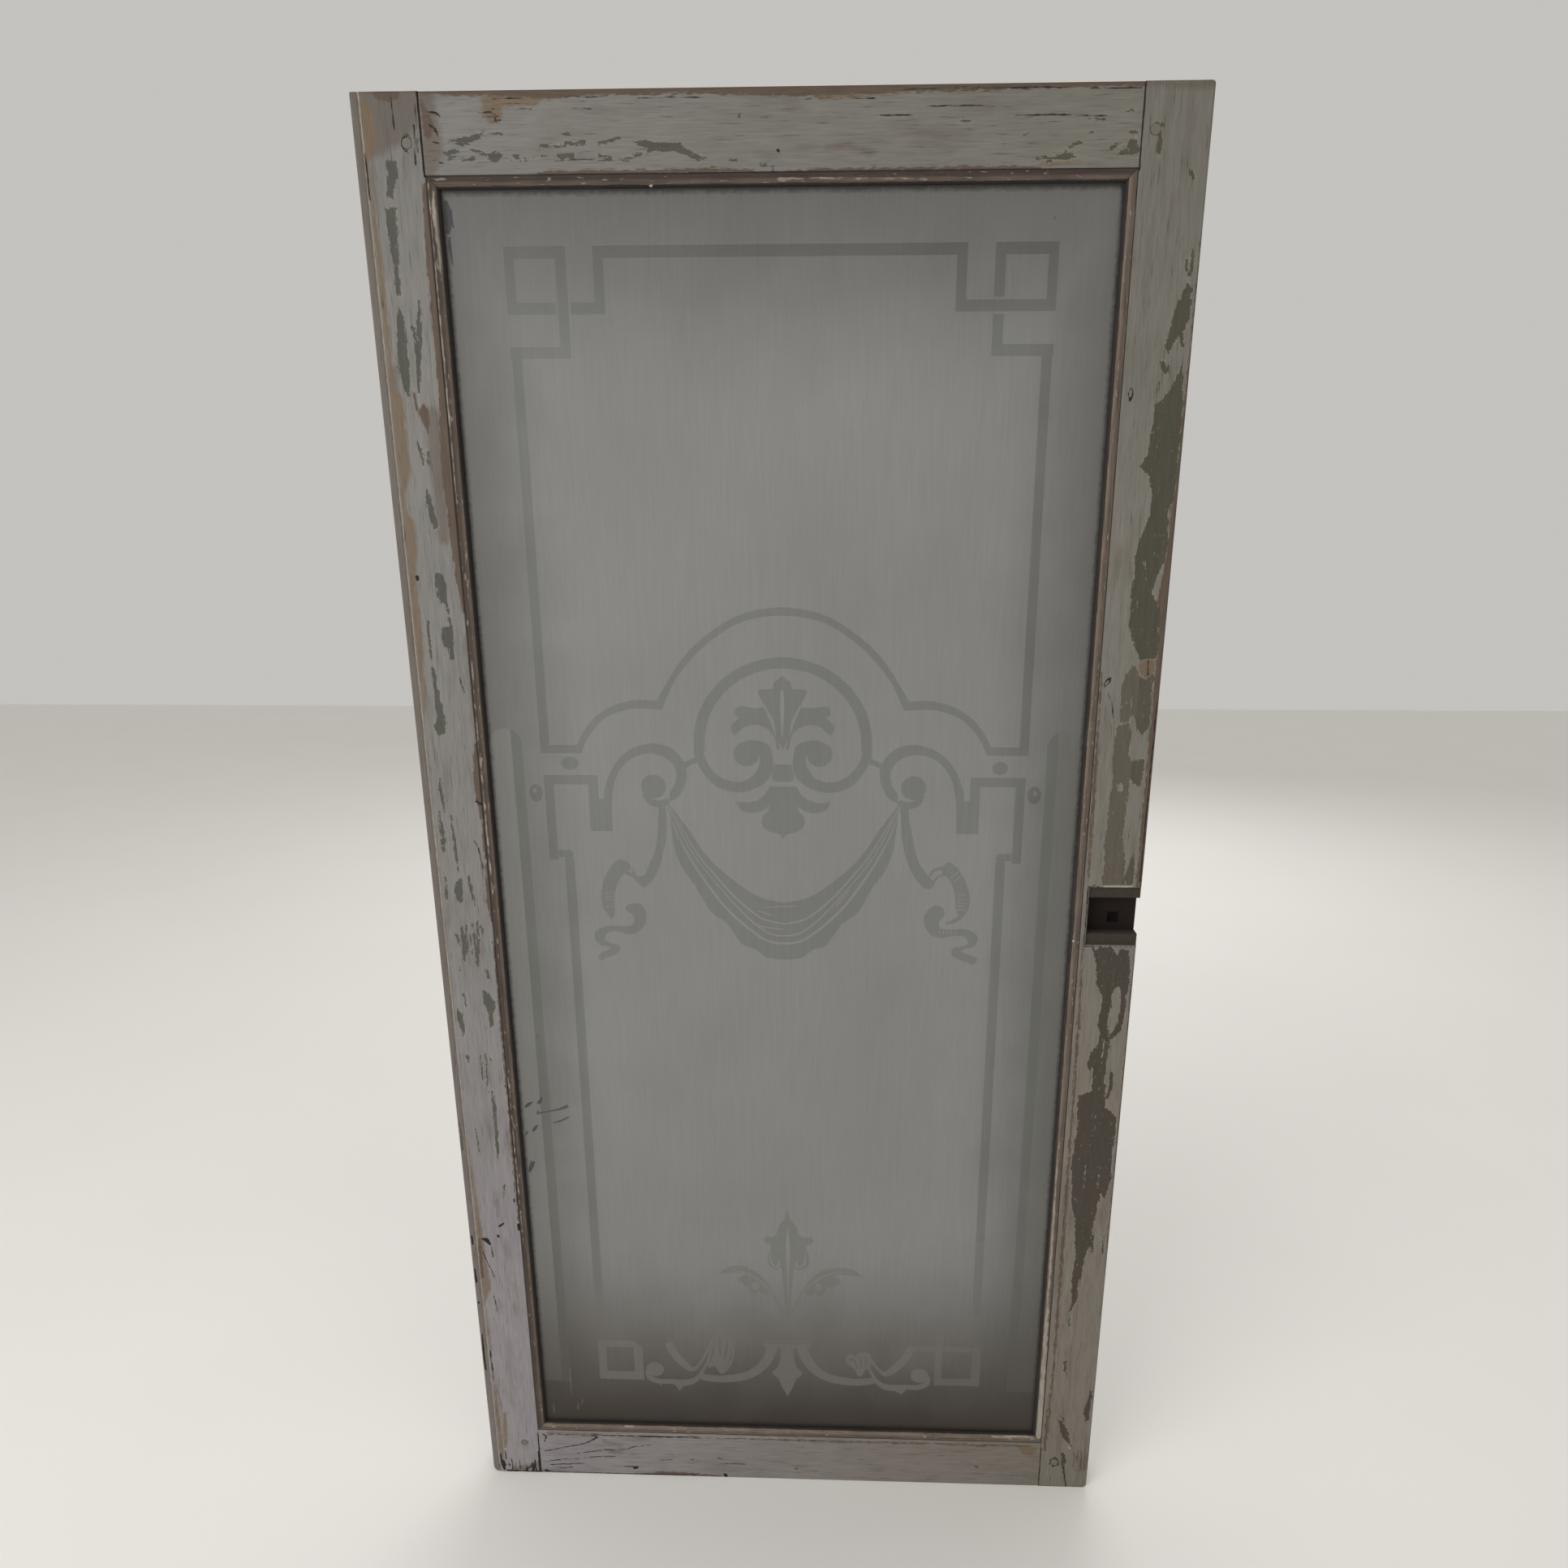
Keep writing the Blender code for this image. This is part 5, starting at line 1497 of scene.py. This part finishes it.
# Beads: bare weathered pine with painted light and shade, the left and top beads painted darker and the
# right and bottom ones paler; dirt in both joints and painted shade on the slope down to the glass;
# paint left in the grain.
# Values: piece, grain axis, how pale (painted light and shade), how wide the dirt and painted shade at
# the glass is, as a share of the face
beadSettings = {
    "bead_left": ("leftBead", 2, 0.3, 0.2),
    "bead_top": ("topBead", 0, 0.2, 0.16),
    "bead_right": ("rightBead", 2, 0.62, 0.26),
    "bead_bottom": ("bottomBead", 0, 0.68, 0.12),
}
beadColours = {"dark": "#3b2e27", "pale": "#75675a", "residue": "#948d82", "streak": "#17110f"}
beadMarks = {
    "bead_left": [
        [(55.5, 66, 0.5), (55, 84, 1.0), (56, 104, 0.9), (56, 128, 0.4)],
        [(52.2, 60, 0.2), (52.4, 170, 0.5), (52.6, 300, 0.1)],
        [(53, 420, 0.1), (53.2, 560, 0.4), (53.4, 640, 0.1)],
        [(52.8, 820, 0.1), (53, 930, 0.4), (53.2, 1010, 0.1)],
    ],
    "bead_top": [[(120, 64.5, 0.3), (180, 64, 0.5)], [(310, 60, 0.1), (420, 61, 0.2)]],
    "bead_right": [
        [(570.2, 80, 0.4), (570.8, 420, 0.5), (572, 900, 0.4), (573.2, 1230, 0.4)],
        [(563.5, 480, 1.0), (564, 493, 1.0)],
        [(562.5, 560, 0.3), (563.5, 900, 0.4)],
        [(565.5, 900, 0.2), (566, 980, 1.0), (566.5, 1060, 0.8), (567, 1130, 2.0), (567.5, 1235, 2.6)],
        [(567, 1060, 0.4), (567.5, 1095, 0.7)],
    ],
    "bead_bottom": [
        [(60, 1245.5, 1.4), (70, 1244.5, 1.0)],
        [(118, 1245.8, 0.5), (205, 1245.2, 0.4)],
        [(215, 1245.3, 0.4), (320, 1244.6, 0.4)],
        [(340, 1245, 0.3), (480, 1244.6, 0.4)],
        [(520, 1237, 0.6), (556, 1236, 1.0)],
        [(142, 1236, 1.2), (150, 1236, 1.0)],
    ],
}


def weatheredPine(name, grain):
    material, tree, shader = newMaterial(name)
    place = addNode(tree, "ShaderNodeTexCoord").outputs["Object"]
    marks = {
        kind: addNode(tree, "ShaderNodeAttribute", attribute_name=kind).outputs["Fac"]
        for kind in ("tone", "residue", "joint")
    }
    colours = {key: srgb(value) for key, value in beadColours.items()}
    # long grain streaks 1 mm apart, blotches 30 mm across, edges of the dirt and painted shade that wander
    # over 12 mm
    noises = {}
    for key, fine, long, detail, rough in (
        ("grain", 900, 26, 5, 0.6),
        ("blotch", 30, 30, 4, 0.5),
        ("crumb", 400, 110, 3, 0.5),
    ):
        stretch = [fine, fine, fine]
        stretch[grain] = long
        at = addNode(tree, "ShaderNodeMapping", {"Vector": place, "Scale": stretch})
        made = addNode(
            tree,
            "ShaderNodeTexNoise",
            {"Vector": at.outputs[0], "Scale": 1.0, "Detail": detail, "Roughness": rough},
        )
        noises[key] = made.outputs[0]
    shift = addNode(tree, "ShaderNodeMath", {0: noises["crumb"], 1: 0.5}, operation="SUBTRACT").outputs[0]
    reach = {}
    for kind, wander in (("residue", 4.0), ("joint", 1.1)):
        made = addNode(
            tree, "ShaderNodeMath", {0: shift, 1: wander, 2: marks[kind]}, operation="MULTIPLY_ADD"
        )
        reach[kind] = made.outputs[0]
    # paleness from the tone attribute: painted light and shade, each bead set darker or paler
    layer = addNode(
        tree, "ShaderNodeMix", {0: marks["tone"], 6: colours["dark"], 7: colours["pale"]}, data_type="RGBA"
    ).outputs[2]
    # dark grain, flecks and strokes of old paint, dirt and painted shade in the joints
    for value, low, high, most, over in (
        (noises["grain"], 0.5, 0.32, 0.6, "streak"),
        (noises["crumb"], 0.64, 0.7, 0.6, "residue"),
        (reach["residue"], -0.5, 0.5, 0.85, "residue"),
        (reach["joint"], -0.3, 0.25, 0.92, "streak"),
    ):
        mask = addNode(
            tree, "ShaderNodeMapRange", {"Value": value, "From Min": low, "From Max": high, "To Max": most}
        ).outputs[0]
        mix = addNode(tree, "ShaderNodeMix", {0: mask, 6: layer, 7: colours[over]}, data_type="RGBA")
        layer = mix.outputs[2]
    cloudy = addNode(
        tree,
        "ShaderNodeMapRange",
        {"Value": noises["blotch"], "From Min": 0.3, "From Max": 0.7, "To Min": 0.8, "To Max": 1.16},
    )
    toned = addNode(tree, "ShaderNodeVectorMath", {0: layer, "Scale": cloudy.outputs[0]}, operation="SCALE")
    bump = addNode(tree, "ShaderNodeBump", {"Height": noises["grain"], "Strength": 0.7, "Distance": 0.0006})
    tree.links.new(toned.outputs[0], shader.inputs["Base Color"])
    tree.links.new(bump.outputs[0], shader.inputs["Normal"])
    shader.inputs["Roughness"].default_value = 0.8
    return material


uprightBead = weatheredPine("weathered pine upright bead", 2)
levelBead = weatheredPine("weathered pine level bead", 0)
beadSteps = (0.003, 0.0008)
for nodeName, (pieceName, axis, tone, dirtAndShadeShare) in beadSettings.items():
    piece = dressedCopy(nodeName, pieceName, axis, *beadSteps)
    mesh = piece.data
    places, across, down = placesOf(mesh)
    low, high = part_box(nodeName)
    cross = 2 - axis
    # 0 at the frame and 1 at the glass, then turned to millimetres past the edge of each line of dirt and
    # painted shade
    share = (places[:, cross] - low[cross]) / (high[cross] - low[cross])
    if nodeName in ("bead_right", "bead_top"):
        share = 1 - share
    wide = (high[cross] - low[cross]) * 1000
    atGlass = (share - (1 - dirtAndShadeShare)) * wide
    atFrame = (0.07 - share) * wide
    # each bead's paleness is painted light and shade; the half by the glass is paler than the half by the
    # frame
    keepField(mesh, "tone", np.clip(tone + 0.45 * (np.clip(share * 4 - 1.5, 0, 1) - 0.5), 0, 1))
    keepField(mesh, "joint", np.clip(np.maximum(atGlass, atFrame), -3, 3))
    keepField(mesh, "residue", fieldOf(beadMarks[nodeName], across, down))
    mesh.polygons.foreach_set("use_smooth", [True] * len(mesh.polygons))
    mesh.set_sharp_from_angle(angle=math.radians(30))
    mesh.materials.append(uprightBead if axis == 2 else levelBead)
    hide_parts(nodeName)
    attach(piece, "root")
print("stage 6: beads")

# Small round heads of the wire nails that hold the beads
nailSettings = {
    "headWidth": 0.0034,
    "headHeight": 0.0009,
    "tiltSeed": 7,
    "tilt": (0.12, 0, 0.12),
    "rust": ("#b9b1a4", "#6b5548"),
    "sunk": 0.0001,
    "places": [(217, 63), (565.3, 673), (146, 1236.5)],
}
nailTree = bpy.data.node_groups.new("beadNails", "GeometryNodeTree")
nailTree.interface.new_socket("places", in_out="INPUT", socket_type="NodeSocketGeometry")
widthSocket = nailTree.interface.new_socket("headWidth", in_out="INPUT", socket_type="NodeSocketFloat")
heightSocket = nailTree.interface.new_socket("headHeight", in_out="INPUT", socket_type="NodeSocketFloat")
seedSocket = nailTree.interface.new_socket("tiltSeed", in_out="INPUT", socket_type="NodeSocketInt")
nailTree.interface.new_socket("nails", in_out="OUTPUT", socket_type="NodeSocketGeometry")
wireNail, nailShaderTree, nailShader = newMaterial("rusted wire nail")
rustPlace = addNode(nailShaderTree, "ShaderNodeTexCoord").outputs["Object"]
rustNoise = addNode(
    nailShaderTree, "ShaderNodeTexNoise", {"Vector": rustPlace, "Scale": 900.0, "Detail": 3.0}
)
rustPale, rustDark = [srgb(colour) for colour in nailSettings["rust"]]
rustMix = addNode(
    nailShaderTree, "ShaderNodeMix", {0: rustNoise.outputs[0], 6: rustPale, 7: rustDark}, data_type="RGBA"
)
nailShaderTree.links.new(rustMix.outputs[2], nailShader.inputs["Base Color"])
nailShader.inputs["Roughness"].default_value = 0.55
nailIn = addNode(nailTree, "NodeGroupInput")
ball = addNode(nailTree, "GeometryNodeMeshUVSphere", {"Segments": 12, "Rings": 7, "Radius": 0.5})
headScale = addNode(
    nailTree,
    "ShaderNodeCombineXYZ",
    {0: nailIn.outputs["headWidth"], 1: nailIn.outputs["headHeight"], 2: nailIn.outputs["headWidth"]},
)
tilt = addNode(
    nailTree, "FunctionNodeRandomValue", {"Seed": nailIn.outputs["tiltSeed"]}, data_type="FLOAT_VECTOR"
)
tilt.inputs[0].default_value = -Vector(nailSettings["tilt"])
tilt.inputs[1].default_value = nailSettings["tilt"]
spread = addNode(
    nailTree,
    "GeometryNodeInstanceOnPoints",
    {
        "Points": nailIn.outputs["places"],
        "Instance": ball.outputs["Mesh"],
        "Scale": headScale.outputs[0],
        "Rotation": tilt.outputs[0],
    },
)
realized = addNode(nailTree, "GeometryNodeRealizeInstances", {0: spread.outputs[0]})
finished = addNode(
    nailTree, "GeometryNodeSetMaterial", {"Geometry": realized.outputs[0], "Material": wireNail}
)
addNode(nailTree, "NodeGroupOutput", {0: finished.outputs[0]})

nailPoints = []
beadMeshes = [nodes[nodeName].data for nodeName in beadSettings]
beadTrees = [
    BVHTree.FromPolygons([v.co for v in mesh.vertices], [p.vertices[:] for p in mesh.polygons])
    for mesh in beadMeshes
]
for across, down in nailSettings["places"]:
    start = Vector((cadLow.x + across * boardX, cadLow.y - 0.05, cadHigh.z - down * boardZ))
    hits = [tree.ray_cast(start, Vector((0, 1, 0)))[0] for tree in beadTrees]
    hits = [hit for hit in hits if hit is not None]
    if hits:
        nailPoints.append(min(hits, key=lambda hit: hit.y) + Vector((0, nailSettings["sunk"], 0)))
pointMesh = bpy.data.meshes.new("nailPlaces")
pointMesh.from_pydata(nailPoints, [], [])
pointPiece = newPiece("nailPlaces", pointMesh)
nailModifier = pointPiece.modifiers.new("nails", "NODES")
nailModifier.node_group = nailTree
for key, socket in (("headWidth", widthSocket), ("headHeight", heightSocket), ("tiltSeed", seedSocket)):
    nailModifier[socket.identifier] = nailSettings[key]
bpy.context.view_layer.update()
nailMesh = bpy.data.meshes.new_from_object(pointPiece.evaluated_get(bpy.context.evaluated_depsgraph_get()))
bpy.data.objects.remove(pointPiece)
nailPiece = newPiece("beadNails", nailMesh)
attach(nailPiece, "root")
print("stage 7: nails,", len(nailPoints))

# Pegs: end grain under the top coat, a shade darker than the stile's own paint
pegSettings = {"colours": ("#5a554d", "#6e6961"), "grainScale": 650.0, "roughness": 0.65}
pegPaint, pegTree, pegShader = newMaterial("paint over peg end grain")
pegPlace = addNode(pegTree, "ShaderNodeTexCoord").outputs["Object"]
pegNoise = addNode(
    pegTree, "ShaderNodeTexNoise", {"Vector": pegPlace, "Scale": pegSettings["grainScale"], "Detail": 3.0}
).outputs[0]
pegDark, pegPale = [srgb(colour) for colour in pegSettings["colours"]]
pegMix = addNode(pegTree, "ShaderNodeMix", {0: pegNoise, 6: pegDark, 7: pegPale}, data_type="RGBA")
pegBump = addNode(pegTree, "ShaderNodeBump", {"Height": pegNoise, "Strength": 0.5, "Distance": 0.0004})
pegTree.links.new(pegMix.outputs[2], pegShader.inputs["Base Color"])
pegTree.links.new(pegBump.outputs[0], pegShader.inputs["Normal"])
pegShader.inputs["Roughness"].default_value = pegSettings["roughness"]
for pegName in ("peg_top_left", "peg_top_right", "peg_bottom_left", "peg_bottom_right"):
    for materialSlot in nodes[pegName].material_slots:
        materialSlot.material = pegPaint
print("stage 8: pegs")
